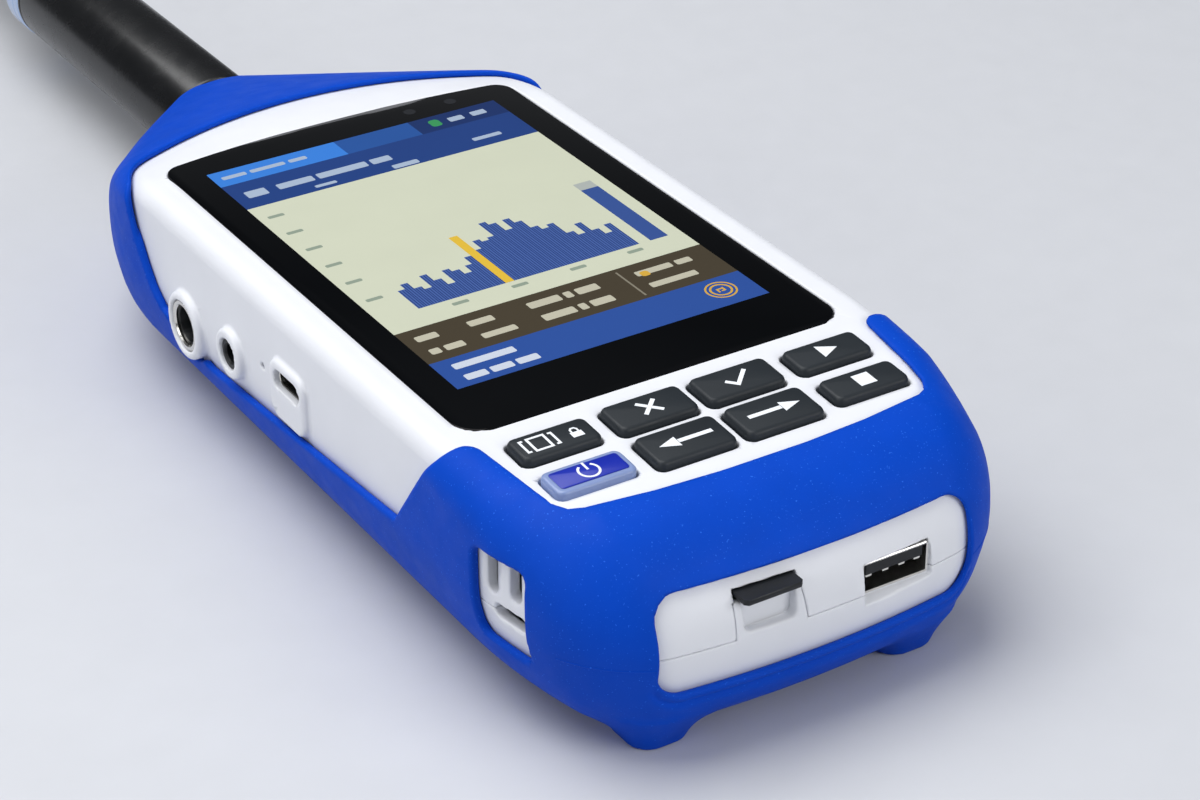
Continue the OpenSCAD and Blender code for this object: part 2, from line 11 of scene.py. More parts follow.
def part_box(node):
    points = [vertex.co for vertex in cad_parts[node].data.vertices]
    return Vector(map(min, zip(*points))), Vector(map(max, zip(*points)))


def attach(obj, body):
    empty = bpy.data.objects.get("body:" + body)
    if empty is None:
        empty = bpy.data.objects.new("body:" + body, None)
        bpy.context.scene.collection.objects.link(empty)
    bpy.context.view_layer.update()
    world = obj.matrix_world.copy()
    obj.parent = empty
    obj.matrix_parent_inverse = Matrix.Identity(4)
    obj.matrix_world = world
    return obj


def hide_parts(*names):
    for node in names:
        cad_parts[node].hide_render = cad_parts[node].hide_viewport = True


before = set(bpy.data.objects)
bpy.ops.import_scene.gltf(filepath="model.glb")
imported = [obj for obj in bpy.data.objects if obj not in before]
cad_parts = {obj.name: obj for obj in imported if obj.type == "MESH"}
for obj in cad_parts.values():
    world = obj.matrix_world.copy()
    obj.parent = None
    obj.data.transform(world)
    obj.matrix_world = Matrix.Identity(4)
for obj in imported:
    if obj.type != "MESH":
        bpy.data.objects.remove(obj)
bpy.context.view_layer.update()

# All shapes are written in millimetres from the lower edge of the display glass, as in the CAD source:
# x to the right, y towards the microphone, z up from the feet.
MM = 0.001
GLASS_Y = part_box("display_glass")[0].y
# SEAM, FACE, AXIS and UNDERSIDE are heights, NOSE and END are the ends of the housing along y.
SEAM = 21.3
FACE = 41.6
NOSE = 170.5
AXIS = 19.7
END = -47.0
WALL = 2.2
HALF_W = 44.0
UNDERSIDE = 3.4
FIELD_Y = -3.0
TILT = math.radians(3.3)
TAPER, TAPER_Y = 0.57, 125.5
NOSE_R = 10.9
CROWN_Y, CROWN_BOW = 130.9, 185.0
JACKET = 1.7
LIFT = 1.0
CLEAR = 0.05
PLUG_BORE = 8.65
HEADPHONES, SIGNAL = (72.5, 24.6), (91.5, 21.6)
USB_C = (49.8, 28.7)


# ---------------------------------------------------------------- distance functions

def rmax(a, b, r):
    """Intersection of two solids, rounded with radius r."""
    return np.minimum(np.maximum(a, b), -r) + np.hypot(np.maximum(a + r, 0), np.maximum(b + r, 0))


def pmax(a, b, k):
    """Intersection of two surfaces that meet at a flat angle, with a soft join of width k."""
    h = np.maximum(k - np.abs(a - b), 0) / k
    return np.maximum(a, b) + h * h * k * 0.25


def pmin(a, b, k):
    """Union of two surfaces with a soft join of width k."""
    return -pmax(-a, -b, k)


def rect(u, v, half_u, half_v, r):
    """Rounded rectangle in the plane, centred on u = v = 0."""
    a = np.abs(u) - half_u + r
    b = np.abs(v) - half_v + r
    return np.hypot(np.maximum(a, 0), np.maximum(b, 0)) + np.minimum(np.maximum(a, b), 0) - r


def span(u, lo, hi):
    """Slab from lo to hi."""
    return np.abs(u - (lo + hi) / 2) - (hi - lo) / 2


def bar(u, v, u0, v0, u1, v1, r):
    """Round-ended bar from (u0, v0) to (u1, v1) in the plane."""
    du, dv = u1 - u0, v1 - v0
    t = np.clip(((u - u0) * du + (v - v0) * dv) / (du * du + dv * dv), 0, 1)
    return np.hypot(u - u0 - t * du, v - v0 - t * dv) - r


def polygon(u, v, points):
    """Closed polygon in the plane."""
    best, inside = None, None
    n = len(points)
    for i in range(n):
        (au, av), (bu, bv) = points[i], points[(i + 1) % n]
        eu, ev = bu - au, bv - av
        t = np.clip(((u - au) * eu + (v - av) * ev) / (eu * eu + ev * ev), 0, 1)
        d2 = (u - au - t * eu) ** 2 + (v - av - t * ev) ** 2
        best = d2 if best is None else np.minimum(best, d2)
        cross = ((av > v) != (bv > v)) & (u < eu * (v - av) / (ev if ev else 1e-9) + au)
        inside = cross if inside is None else inside ^ cross
    return np.where(inside, -1.0, 1.0) * np.sqrt(best)


def key_plane(y, z):
    """Place on the sloping key field: distance along it from the glass edge, height above it."""
    dy, dz = y - FIELD_Y, z - FACE
    c, s = math.cos(TILT), math.sin(TILT)
    return FIELD_Y + dy * c + dz * s, dz * c - dy * s


def drawn_in(y):
    """How far the sides curve in towards the lower end."""
    return np.maximum(-8.0 - y, 0) ** 2 / 190


def crown(x, y):
    """Distance past the bowed line from which the top slopes down to the nose."""
    return y - CROWN_Y + x * x / CROWN_BOW


def body(x, y, z, g=0.0, lift=None):
    """Outer form of the housing, grown by g, with its face raised by lift."""
    lift = g if lift is None else lift
    dz = z - SEAM
    bend = np.sqrt(dz * dz + 9.0)
    draft = 0.156 * bend - 0.131 * dz - 0.252
    end_draft = 0.2033 * bend + 0.0093 * dz - 0.61
    side_in = drawn_in(y)
    side = np.abs(x) - (HALF_W - side_in) + draft - g
    low = (END + x * x / 380 + end_draft - y) * 0.98 - g
    taper = (np.abs(x) - HALF_W + TAPER * (y - TAPER_Y)) / math.hypot(1, TAPER) + 0.5 * draft - g
    plan = pmax(rmax(side, low, 10 + g), taper, 8)
    fall = 0.5 * (FIELD_Y - y + np.sqrt((FIELD_Y - y) ** 2 + 1))
    face = z - FACE - lift + math.tan(TILT) * fall
    slope = (z - FACE - lift + 0.287 * crown(x, y)) * 0.961
    top = pmax(face, slope, 1.2)
    under = pmax(UNDERSIDE - z, (UNDERSIDE + 0.1294 * (y - 128) - z) * 0.992, 2) - g
    r_top = np.interp(y, [-42, -30, -15, 5, 125, 140, 165], [15, 12, 6, 3.3, 3.3, 8, 10])
    d = rmax(plan, top, r_top + g)
    d = rmax(d, under, 11 + g)
    back = np.maximum(NOSE - y, 0)
    tall, wide = NOSE_R + 0.311 * back + g, NOSE_R + 1.126 * back + g
    cone = (np.hypot(x * tall / wide, z - AXIS) - tall) * 0.9
    d = pmax(d, cone, 5)
    return rmax(d, y - NOSE - g, 1.0 + max(g, 0))


def seam_height(y):
    """Height of the parting line between the shells."""
    return np.interp(y, [4, 92, 128], [SEAM, 13.0, AXIS])


def collars(x, y, z):
    """Raised rims of the sockets in the left side."""
    head = rmax(np.hypot(y - HEADPHONES[0], z - HEADPHONES[1]) - 4.8, -45.5 - x, 0.8)
    signal = rmax(np.hypot(y - SIGNAL[0], z - SIGNAL[1]) - 6.6, -45.5 - x, 0.9)
    usb = rmax(rect(y - USB_C[0], z - 26.5, 6.5, 5.8, 3), -45.0 - x, 0.8)
    return np.maximum(np.minimum(np.minimum(head, signal), usb), x + 39)


def side_holes(x, y, z):
    """Bores of the sockets and the pinhole of the voice-note microphone."""
    usb = bar(y, z, USB_C[0] - 2.85, USB_C[1], USB_C[0] + 2.85, USB_C[1], 1.95)
    head = np.hypot(y - HEADPHONES[0], z - HEADPHONES[1]) - 3.05
    signal = np.hypot(y - SIGNAL[0], z - SIGNAL[1]) - 5.05
    pin = np.hypot(y - 60.8, z - 27.4) - 0.7
    return np.maximum(np.minimum(np.minimum(usb, head), np.minimum(signal, pin)), x + 37)


def strap_cuts(x, y, z):
    """The strap slot and its two round-ended grooves, on both sides."""
    ax = np.abs(x)
    side_in = drawn_in(y)
    slot = np.maximum(bar(y, z, -25.1, 21.5, -19.9, 21.5, 1.4), 36 - ax)
    first = bar(y, z, -18.3, 25.7, -18.3, 36, 1.35)
    second = bar(y, z, -24.0, 26.6, -24.0, 36, 1.35)
    grooves = np.maximum(np.minimum(first, second), 41.6 - side_in - ax)
    return np.minimum(slot, grooves)


SCREWS = [(-27, -29), (27, -29), (-31, 119), (31, 119)]


def posts(x, y, r):
    """Round posts that hold the screws."""
    return np.minimum.reduce([np.hypot(x - a, y - b) - r for a, b in SCREWS])


def hollow(x, y, z):
    """Space inside the housing."""
    d = body(x, y, z, -WALL, -2.6)
    d = np.maximum(d, y - 159)
    return np.maximum(d, -posts(x, y, 3.4))


KEY_OUT, KEY_IN = (19.1, 33.8), (0.95, 16.05)
ROW_TOP, ROW_LOW = (-13.3, -5.3), (-24.3, -15.5)
ROW_TOP_OUT, ROW_LOW_OUT = (-12.9, -5.9), (-23.2, -16.4)


def mirrored(c):
    return (-c[1], -c[0])


KEYS = {
    "key_page": (mirrored(KEY_OUT), ROW_TOP_OUT), "key_escape": (mirrored(KEY_IN), ROW_TOP),
    "key_ok": (KEY_IN, ROW_TOP), "key_start": (KEY_OUT, ROW_TOP_OUT),
    "key_power": (mirrored(KEY_OUT), ROW_LOW_OUT), "key_left": (mirrored(KEY_IN), ROW_LOW),
    "key_right": (KEY_IN, ROW_LOW), "key_stop": (KEY_OUT, ROW_LOW_OUT),
}
KEY_GAP = 0.3
GLASS_W, GLASS_L = 74.2, 117.9
GLASS_BOW = 230.0


def glass_outline(x, y, g=0.0):
    bow = np.hypot(x, y - GLASS_L + GLASS_BOW) - GLASS_BOW
    box = rect(x, y - 59.5, GLASS_W / 2, 59.5, 5)
    return rmax(box, bow, 4.0) - g


CARD_X = -10.2
CARD_Z = 28.2
USB_A = (14.6, 23.4)


def tab_outline(x, z):
    """The rear shell's tab round the card slot."""
    lean = 1.1 * (27.4 - z) / 7
    left = CARD_X - 6 - x
    right = x - (CARD_X + 6) - lean
    return np.maximum(np.maximum(left, right), z - 27.4)


def end_cuts(x, y, z, with_card=False):
    """Openings of the lower end: USB-A with its bevel, and the card's slot."""
    ux, uz = x - USB_A[0], z - USB_A[1]
    depth = np.clip(y - END - 0.2, 0, 3)
    bevel = rect(ux - 0.55, uz + 0.6, 7.3 - 0.5 * depth, 3.7 - 0.5 * depth, 0.5)
    usb = np.minimum(np.maximum(bevel, y - END - 2.0), rect(ux, uz, 6.75, 3.05, 0.3))
    card = rect(x - CARD_X, z - CARD_Z - 0.1, 5.8, 1.15, 0.25)
    return np.maximum(np.minimum(usb, card) if with_card else usb, y + 33)


def front_form(x, y, z):
    """Front shell: its outer form, hollow inside, with every opening of the face, the side and the end."""
    shell = pmin(body(x, y, z), collars(x, y, z), 0.7)
    shell = np.maximum(shell, -hollow(x, y, z))
    shell = rmax(shell, seam_height(y) + CLEAR - z, 0.2)
    recess = np.maximum(glass_outline(x, y, 0.15), 40.1 - z)
    module = np.maximum(rect(x, y - 60.5, 33.9, 51.9, 1), 30 - z)
    shell = rmax(shell, -recess, 0.25)
    shell = np.maximum(shell, -module)
    v, h = key_plane(y, z)
    for (x0, x1), (y0, y1) in KEYS.values():
        half_x, half_y = (x1 - x0) / 2 + KEY_GAP, (y1 - y0) / 2 + KEY_GAP
        hole = rect(x - (x0 + x1) / 2, v - (y0 + y1) / 2, half_x, half_y, 1.6)
        shell = rmax(shell, -np.maximum(hole, -6 - h), 0.3)
    pad = np.maximum(np.maximum(rect(x, v + 15, 36, 12.4, 1), h + 2.6), -9 - h)
    shell = np.maximum(shell, -pad)
    shell = rmax(shell, -side_holes(x, y, z), 0.25)
    tab = np.maximum(tab_outline(x, z) - 0.12, y - END - 4)
    shell = rmax(shell, -tab, 0.2)
    shell = rmax(shell, -end_cuts(x, y, z, with_card=True), 0.15)
    dimple = np.hypot(np.hypot(x + 24.5, z - 31.2) , y - END - 1.2) - 1.9
    shell = rmax(shell, -dimple, 0.2)
    shell = rmax(shell, -strap_cuts(x, y, z), 0.3)
    bore = np.maximum(np.hypot(x, z - AXIS) - PLUG_BORE, 146 - y)
    return rmax(shell, -bore, 0.3)


STAND_Y = 92.0
BATTERY_Y = 1.0


def rear_form(x, y, z):
    """Rear shell, with the battery bay, the kickstand's recess, the tripod boss and the speaker's holes."""
    outer = pmin(body(x, y, z), collars(x, y, z), 0.7)
    stand_block = np.maximum(np.maximum(np.abs(x) - 30, span(y, 33, 97)), z - 11)
    bay_rim = np.maximum(np.maximum(np.abs(x) - 33, np.abs(y - BATTERY_Y) - 30), z - 6.8)
    bay = np.maximum(np.maximum(np.abs(x) - 27.6, np.abs(y - BATTERY_Y) - 24.6), z - 17.2)
    boss = np.maximum(np.hypot(x, y - 108) - 7.7, z - 14.4)
    void = hollow(x, y, z)
    for block in (stand_block, bay_rim, bay, boss):
        void = np.maximum(void, -block)
    shell = np.maximum(outer, -void)
    shell = rmax(shell, z - seam_height(y) + CLEAR, 0.2)
    tab = np.maximum(np.maximum(tab_outline(x, z), y - END - 3), SEAM - 1 - z)
    shell = np.minimum(shell, rmax(body(x, y, z), tab, 0.2))
    cuts = [
        np.maximum(rect(x, y - BATTERY_Y, 26.4, 23.4, 1), z - 16),
        np.maximum(rect(x, y - BATTERY_Y, 29.2, 26.2, 3.2), z - 5.4),
        np.maximum(rect(x, y - 63.3, 26.4, 25.8, 0.8), z - 6.3),
        np.maximum(rect(x, y - 91.9, 26.4, 3.1, 0.8), z - 8.4),
        np.maximum(np.hypot(x, y - 37) - 6, z - 6.3),
        np.maximum(np.hypot(x, y - 108) - 5.2, z - 12.4),
        np.maximum(posts(x, y, 2.4), z - 9.2),
        np.maximum(posts(x, y, 1.15), z - 30),
        np.maximum(np.hypot(y - STAND_Y, z - 5.8) - 1.2, np.abs(x) - 29),
        np.maximum(np.hypot(x, z - AXIS) - PLUG_BORE, 146 - y),
    ]
    for cut in cuts:
        shell = rmax(shell, -cut, 0.25)
    holes = np.hypot((x - 21 + 5.5) % 2.2 - 1.1, (y - 106 + 5.5) % 2.2 - 1.1) - 0.75
    holes = np.maximum(np.maximum(holes, rect(x - 21, y - 106, 5.5, 5.5, 0.1)), z - 8)
    shell = rmax(shell, -holes, 0.08)
    finger = np.maximum(rect(x - CARD_X - 0.2, z - 25.7, 4.7, 3.4, 1.2), y - END - 2.2)
    shell = rmax(shell, -finger, 0.5)
    shell = rmax(shell, -end_cuts(x, y, z), 0.15)
    shell = rmax(shell, -side_holes(x, y, z), 0.25)
    return rmax(shell, -strap_cuts(x, y, z), 0.3)


# windows of the jacket: the side as (y, height over the face), the face as (x, y)
SIDE_CUT = [
    (10.2, -18.2), (-1.9, -1.4), (-3.4, 1.2), (-3.4, 30), (115.5, 30), (114.8, 0.5), (113.6, -2.8),
    (111.9, -6.5), (109.6, -10.3), (107.1, -14), (104.4, -17.5), (101, -20.6), (92, -23.6), (84, -25.4),
    (70, -24.0), (40, -20.9),
]
FACE_CUT = [
    (38.2, -3), (37.6, -6), (37.2, -9.5), (36.7, -14), (36.2, -18.5), (35.4, -23.5), (34.0, -26),
    (31.8, -27.2), (20, -28.7), (8, -29.4), (-8, -29.4), (-20, -28.7), (-31.8, -27.2), (-34.0, -26),
    (-35.4, -23.5), (-36.2, -18.5), (-36.7, -14), (-37.2, -9.5), (-37.6, -6), (-38.2, -3), (-38.2, 40),
    (38.2, 40),
]
FOOT_X, FOOT_LOW, FOOT_HIGH = 24.2, -33.6, 116.5
# groove round the end window: half width, lower and upper height
CREASE = (30.8, 12.2, 32.4)


def jacket_form(x, y, z):
    """Rubber jacket: a skin round the housing with its feet, minus the windows."""
    outer = body(x, y, z, JACKET, LIFT)
    ax = np.abs(x)
    flare = 0.4 * np.clip(z, 0, 8)
    low = np.maximum(rect(ax - FOOT_X, y - FOOT_LOW, 5.2, 5.6, 3.8) - flare, z - 7)
    high = np.maximum(rect(ax - FOOT_X, y - FOOT_HIGH, 4.5, 4.5, 2.8) - flare, z - 6)
    outer = pmin(pmin(outer, low, 3.2), high, 2.0)
    outer = rmax(outer, -z, 0.5)
    half, z0, z1 = CREASE
    rim = rect(x, z - (z0 + z1) / 2, half, (z1 - z0) / 2, 4.8)
    groove = np.exp(-((rim + 0.5) / 0.6) ** 2) * np.clip((19 - z) / 4, 0, 1) * np.clip((-36 - y) / 2, 0, 1)
    outer = outer + 0.55 * groove
    inner = np.minimum(body(x, y, z, CLEAR, CLEAR), collars(x, y, z) - 0.35)
    shell = np.maximum(outer, -inner)
    side = polygon(y, z - FACE, SIDE_CUT)
    face = np.maximum(polygon(x, y, FACE_CUT), SEAM - z)
    bow = crown(x, y) / np.sqrt(1 + (x / 92) ** 2)
    low = FACE - 3.2 - 0.5 * np.maximum(ax - 34, 0)
    corner = np.maximum(np.maximum(rmax(bow, ax - 43.6, 8), 60 - y), low - z)
    window = np.maximum(rect(x, z - 23.1, 29.8, 8.5, 4.2), y + 30)
    strap = np.maximum(rect(y + 21.5, z - 23.95, 6.3, 8.35, 2), 30 - ax)
    back = np.maximum(rect(x, y - 41.75, 30.5, 69.25, 6), z - 5.4)
    jacks = np.minimum(np.hypot(y - HEADPHONES[0], z - HEADPHONES[1]) - 5.25,
                       np.hypot(y - SIGNAL[0], z - SIGNAL[1]) - 7.05)
    jacks = np.maximum(jacks, x + 36)
    tube = np.maximum(np.hypot(x, z - AXIS) - NOSE_R, NOSE - 1 - y)
    cut = pmin(side, pmin(face, corner, 1.0), 2.5)
    cut = pmin(cut, jacks, 1.2)
    for other in (window, strap, back, tube):
        cut = np.minimum(cut, other)
    return rmax(shell, -cut, 0.7)


# ---------------------------------------------------------------- meshes

def place(points):
    """Millimetres from the glass edge to metres in the shared frame."""
    return np.asarray(points, float) * MM + np.array([0, GLASS_Y, 0])


def slope_of(form, p, e=0.04):
    """Gradient of a distance function at the points p."""
    grad = []
    for axis in range(3):
        a, b = p.copy(), p.copy()
        a[:, axis] += e
        b[:, axis] -= e
        grad.append((form(*a.T) - form(*b.T)) / (2 * e))
    return np.stack(grad, 1)


def add_mesh(name, points, faces, node_body, material, slot, normals=None, replaces=(), sharp=None):
    """New piece from points in millimetres, riding on a body in place of the CAD nodes it replaces."""
    mesh = bpy.data.meshes.new(name)
    mesh.from_pydata(place(points).tolist(), [], faces)
    mesh.validate()
    mesh.polygons.foreach_set("use_smooth", [True] * len(mesh.polygons))
    mesh.materials.append(material)
    if normals is not None:
        mesh.normals_split_custom_set_from_vertices(normals.tolist())
    elif sharp is not None:
        mesh.set_sharp_from_angle(angle=math.radians(sharp))
    obj = bpy.data.objects.new(name, mesh)
    bpy.context.scene.collection.objects.link(obj)
    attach(obj, node_body)
    if replaces:
        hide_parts(*replaces)
    return obj


def spaced(start, *parts):
    """Grid places along one axis: from start, then (end, step) for each part."""
    out = [start]
    for end, step in parts:
        count = max(1, round((end - out[-1]) / step))
        out += list(np.linspace(out[-1], end, count + 1)[1:])
    return np.array(out)


FINE, ADAPTIVITY, BAND = 0.4, 0.02, 3.0


def surface(name, form, axes, **kw):
    """Mesh of a distance function: extracted on a grid, then moved exactly onto the surface."""
    x, y, z = (a.astype(np.float32) for a in axes)
    field = form(x[:, None, None], y[None, :, None], z[None, None, :])
    grid = openvdb.FloatGrid(background=BAND)
    grid.copyFromArray(np.clip(field / FINE, -BAND, BAND).astype(np.float32))
    points, tris, quads = grid.convertToPolygons(isovalue=0.0, adaptivity=ADAPTIVITY)
    p = np.stack([np.interp(points[:, i], np.arange(len(a)), a) for i, a in enumerate(axes)], 1)
    for _ in range(4):
        g = slope_of(form, p)
        length2 = np.maximum((g * g).sum(1), 0.04)
        move = (form(*p.T) / length2)[:, None] * g
        size = np.linalg.norm(move, axis=1, keepdims=True)
        p -= move * np.minimum(1, 0.4 * FINE / np.maximum(size, 1e-9))
    g = slope_of(form, p, 0.12)
    n = g / np.maximum(np.linalg.norm(g, axis=1, keepdims=True), 1e-9)
    faces = [tuple(map(int, f)) for f in tris] + [tuple(map(int, f)) for f in quads]
    f0 = np.array([f[:3] for f in faces])
    turn = np.cross(p[f0[:, 1]] - p[f0[:, 0]], p[f0[:, 2]] - p[f0[:, 0]])
    if (turn * n[f0[:, 0]]).sum() < 0:
        faces = [f[::-1] for f in faces]
    print("surface", name, len(p), "points", len(faces), "faces")
    return add_mesh(name, p, faces, normals=n, **kw)


def on_face(height):
    """Maps plan places to points at a height above the face."""
    return lambda u, v, h: (u, v, FACE + height + h)


def on_keys(u, v, h):
    """Maps places on the sloping key field, and heights above it, to points."""
    c, s = math.cos(TILT), math.sin(TILT)
    d = v - FIELD_Y
    return (u, FIELD_Y + d * c - h * s, FACE + d * s + h * c)


def on_end(u, v, h):
    """Maps places on the lower end, and distances out of it, to points."""
    return (u, END - h, v)


def on_left(u, v, h):
    """Maps places on the left side, and distances out of it, to points."""
    return (-HALF_W - h, -u, v)


class Build:
    """Collects the points and faces of one piece."""

    def __init__(self, to_xyz):
        self.points, self.faces, self.to_xyz = [], [], to_xyz

    def ring(self, outline, h):
        start = len(self.points)
        self.points += [self.to_xyz(u, v, h) for u, v in outline]
        return list(range(start, len(self.points)))

    def join(self, a, b):
        n = len(a)
        self.faces += [(a[i], a[(i + 1) % n], b[(i + 1) % n], b[i]) for i in range(n)]

    def stack(self, loops):
        """Closed solid through loops of (outline, height), from the lowest up."""
        rings = [self.ring(outline, h) for outline, h in loops]
        self.faces.append(tuple(reversed(rings[0])))
        for a, b in zip(rings, rings[1:]):
            self.join(a, b)
        self.faces.append(tuple(rings[-1]))

    def plate(self, outline, h0, h1):
        self.stack([(outline, h0), (outline, h1)])

    def tube(self, loops):
        """Solid with a hole: the loops close on themselves."""
        rings = [self.ring(outline, h) for outline, h in loops]
        for a, b in zip(rings, rings[1:] + rings[:1]):
            self.join(a, b)

    def stroke(self, path, width, h0, h1, closed=False):
        """Line of even width along a path."""
        pts = [Vector(p) for p in path]
        n = len(pts)
        sides = []
        for i, p in enumerate(pts):
            before = pts[i - 1] if closed or i else p
            after = pts[(i + 1) % n] if closed or i < n - 1 else p
            a, b = (p - before), (after - p)
            a = a.normalized() if a.length else b.normalized()
            b = b.normalized() if b.length else a
            normal = Vector((-(a + b).y, (a + b).x)).normalized()
            reach = width / 2 / max(0.5, normal.dot(Vector((-a.y, a.x))))
            sides.append((p + normal * reach, p - normal * reach))
        if closed:
            outer, inner = [s[1] for s in sides], [s[0] for s in sides]
            self.tube([(outer, h0), (outer, h1), (inner, h1), (inner, h0)])
        else:
            self.plate([s[1] for s in sides] + [s[0] for s in reversed(sides)], h0, h1)

    def done(self, name, node_body, material, slot, replaces=(), sharp=35):
        return add_mesh(name, self.points, self.faces, node_body, material, slot, replaces=replaces,
                        sharp=sharp)


def corner_arc(cx, cy, r, a0, steps=6):
    """Quarter circle from the angle a0, in degrees."""
    angles = [math.radians(a0 + 90 * i / steps) for i in range(steps + 1)]
    return [(cx + r * math.cos(a), cy + r * math.sin(a)) for a in angles]


def rounded(x0, x1, y0, y1, r, inset=0.0, steps=6):
    """Outline of a rounded rectangle, drawn in by inset."""
    x0, x1, y0, y1 = x0 + inset, x1 - inset, y0 + inset, y1 - inset
    r = max(r - inset, 0.12)
    return (corner_arc(x0 + r, y0 + r, r, 180, steps) + corner_arc(x1 - r, y0 + r, r, 270, steps)
            + corner_arc(x1 - r, y1 - r, r, 0, steps) + corner_arc(x0 + r, y1 - r, r, 90, steps))


def circle(cx, cy, r, n=32, start=0.0, end=360.0):
    count = n if end - start == 360 else n + 1
    step = math.radians(end - start) / n
    angles = [math.radians(start) + step * i for i in range(count)]
    return [(cx + r * math.cos(a), cy + r * math.sin(a)) for a in angles]


def lathe(name, profile, to_xyz, node_body, material, slot, replaces=(), segments=96, sharp=30):
    """Round piece: a profile of (radius, distance along the axis), turned about the axis."""
    points, faces, rings = [], [], []
    for r, a in profile:
        if r == 0:
            rings.append([len(points)])
            points.append(to_xyz(0, 0, a))
        else:
            rings.append(list(range(len(points), len(points) + segments)))
            turns = [2 * math.pi * i / segments for i in range(segments)]
            points += [to_xyz(r * math.cos(turn), r * math.sin(turn), a) for turn in turns]
    closed = profile[0][0] > 0
    pairs = list(zip(rings, rings[1:] + rings[:1])) if closed else list(zip(rings, rings[1:]))
    for a, b in pairs:
        for i in range(segments):
            j = (i + 1) % segments
            if len(a) == 1:
                faces.append((a[0], b[j], b[i]))
            elif len(b) == 1:
                faces.append((a[i], a[j], b[0]))
            else:
                faces.append((a[i], a[j], b[j], b[i]))
    return add_mesh(name, points, faces, node_body, material, slot, replaces=replaces, sharp=sharp)


# ---------------------------------------------------------------- materials

IOR, COAT_ROUGHNESS, SHEEN_ROUGHNESS = 1.5, 0.1, 0.4
GRAIN_DEPTH = 0.05 * MM


def srgb(r, g, b):
    def lin(c):
        c /= 255
        return c / 12.92 if c <= 0.04045 else ((c + 0.055) / 1.055) ** 2.4
    return (lin(r), lin(g), lin(b), 1.0)


def material(name, colour, rough, grain=(3500, 0.1), vary=0.06, metal=0.0, coat=0.0, sheen=0.0,
             edge_highlight=0.0, edge_highlight_colour=(1, 1, 1, 1), speckle=None, glow=0.0, subsurface=0.0, brushed=None,
             specular=0.5):
    """Procedural surface: colour drift, roughness drift, fine bump, a painted highlight on sharp edges and
    speckles.

    grain is (scale, strength) of the bump, speckle is (scale, amount, colour), brushed stretches the grain.
    """
    m = bpy.data.materials.new(name)
    m.use_nodes = True
    nodes, links = m.node_tree.nodes, m.node_tree.links
    shader = nodes["Principled BSDF"]
    coords = nodes.new("ShaderNodeTexCoord")

    def noise(scale, detail=2.0, stretch=None):
        n = nodes.new("ShaderNodeTexNoise")
        n.inputs["Scale"].default_value = scale
        n.inputs["Detail"].default_value = detail
        source = coords.outputs["Object"]
        if stretch:
            mapping = nodes.new("ShaderNodeMapping")
            mapping.inputs["Scale"].default_value = stretch
            links.new(source, mapping.inputs["Vector"])
            source = mapping.outputs["Vector"]
        links.new(source, n.inputs["Vector"])
        return n.outputs["Fac"]

    def ramp(source, low, high, a, b):
        r = nodes.new("ShaderNodeMapRange")
        for key, value in (("From Min", low), ("From Max", high), ("To Min", a), ("To Max", b)):
            r.inputs[key].default_value = value
        links.new(source, r.inputs["Value"])
        return r.outputs["Result"]

    def mix(factor, a, b):
        n = nodes.new("ShaderNodeMix")
        n.data_type = "RGBA"
        links.new(factor, n.inputs["Factor"])
        for socket, value in ((n.inputs["A"], a), (n.inputs["B"], b)):
            if isinstance(value, tuple):
                socket.default_value = value
            else:
                links.new(value, socket)
        return n.outputs["Result"]

    dark = tuple(c * (1 - vary) for c in colour[:3]) + (1,)
    light = tuple(min(1, c * (1 + vary)) for c in colour[:3]) + (1,)
    base = mix(ramp(noise(90, 4), 0.3, 0.7, 0, 1), dark, light)
    if speckle:
        scale, amount, tint = speckle
        base = mix(ramp(noise(scale, 1), 0.69, 0.76, 0, amount), base, tint)
    # painted highlight: sharp convex edges, found by pointiness, are lightened towards a lighter colour
    if edge_highlight:
        edge = nodes.new("ShaderNodeNewGeometry").outputs["Pointiness"]
        base = mix(ramp(edge, 0.515, 0.58, 0, edge_highlight), base, edge_highlight_colour)
    links.new(base, shader.inputs["Base Color"])
    links.new(ramp(noise(240, 3), 0.3, 0.7, rough * 0.9, min(1, rough * 1.12)), shader.inputs["Roughness"])
    bump = nodes.new("ShaderNodeBump")
    bump.inputs["Strength"].default_value = grain[1]
    bump.inputs["Distance"].default_value = GRAIN_DEPTH
    links.new(noise(grain[0], 2, brushed), bump.inputs["Height"])
    links.new(bump.outputs["Normal"], shader.inputs["Normal"])
    for key, value in (("Metallic", metal), ("Coat Weight", coat), ("Coat Roughness", COAT_ROUGHNESS),
                       ("IOR", IOR), ("Sheen Weight", sheen), ("Sheen Tint", (1, 1, 1, 1)),
                       ("Sheen Roughness", SHEEN_ROUGHNESS), ("Emission Strength", glow),
                       ("Subsurface Weight", subsurface), ("Specular IOR Level", specular)):
        shader.inputs[key].default_value = value
    if subsurface:
        shader.inputs["Subsurface Radius"].default_value = (MM, MM, MM)
    if glow:
        shader.inputs["Emission Color"].default_value = colour
    return m


# white plastic with a painted highlight: its sharp edges are lightened
WHITE = material("white_plastic", srgb(224, 226, 232), 0.42, (5200, 0.1), 0.012, edge_highlight=0.3,
                 edge_highlight_colour=srgb(240, 241, 245))
BLUE = material("blue_rubber", srgb(0, 66, 184), 0.56, (3600, 0.16), 0.05, specular=0.09,
                speckle=(2600, 0.55, srgb(50, 120, 235)))
GLASS = material("cover_glass", srgb(4, 5, 7), 0.05, (300, 0.004), 0.1, specular=0.08)
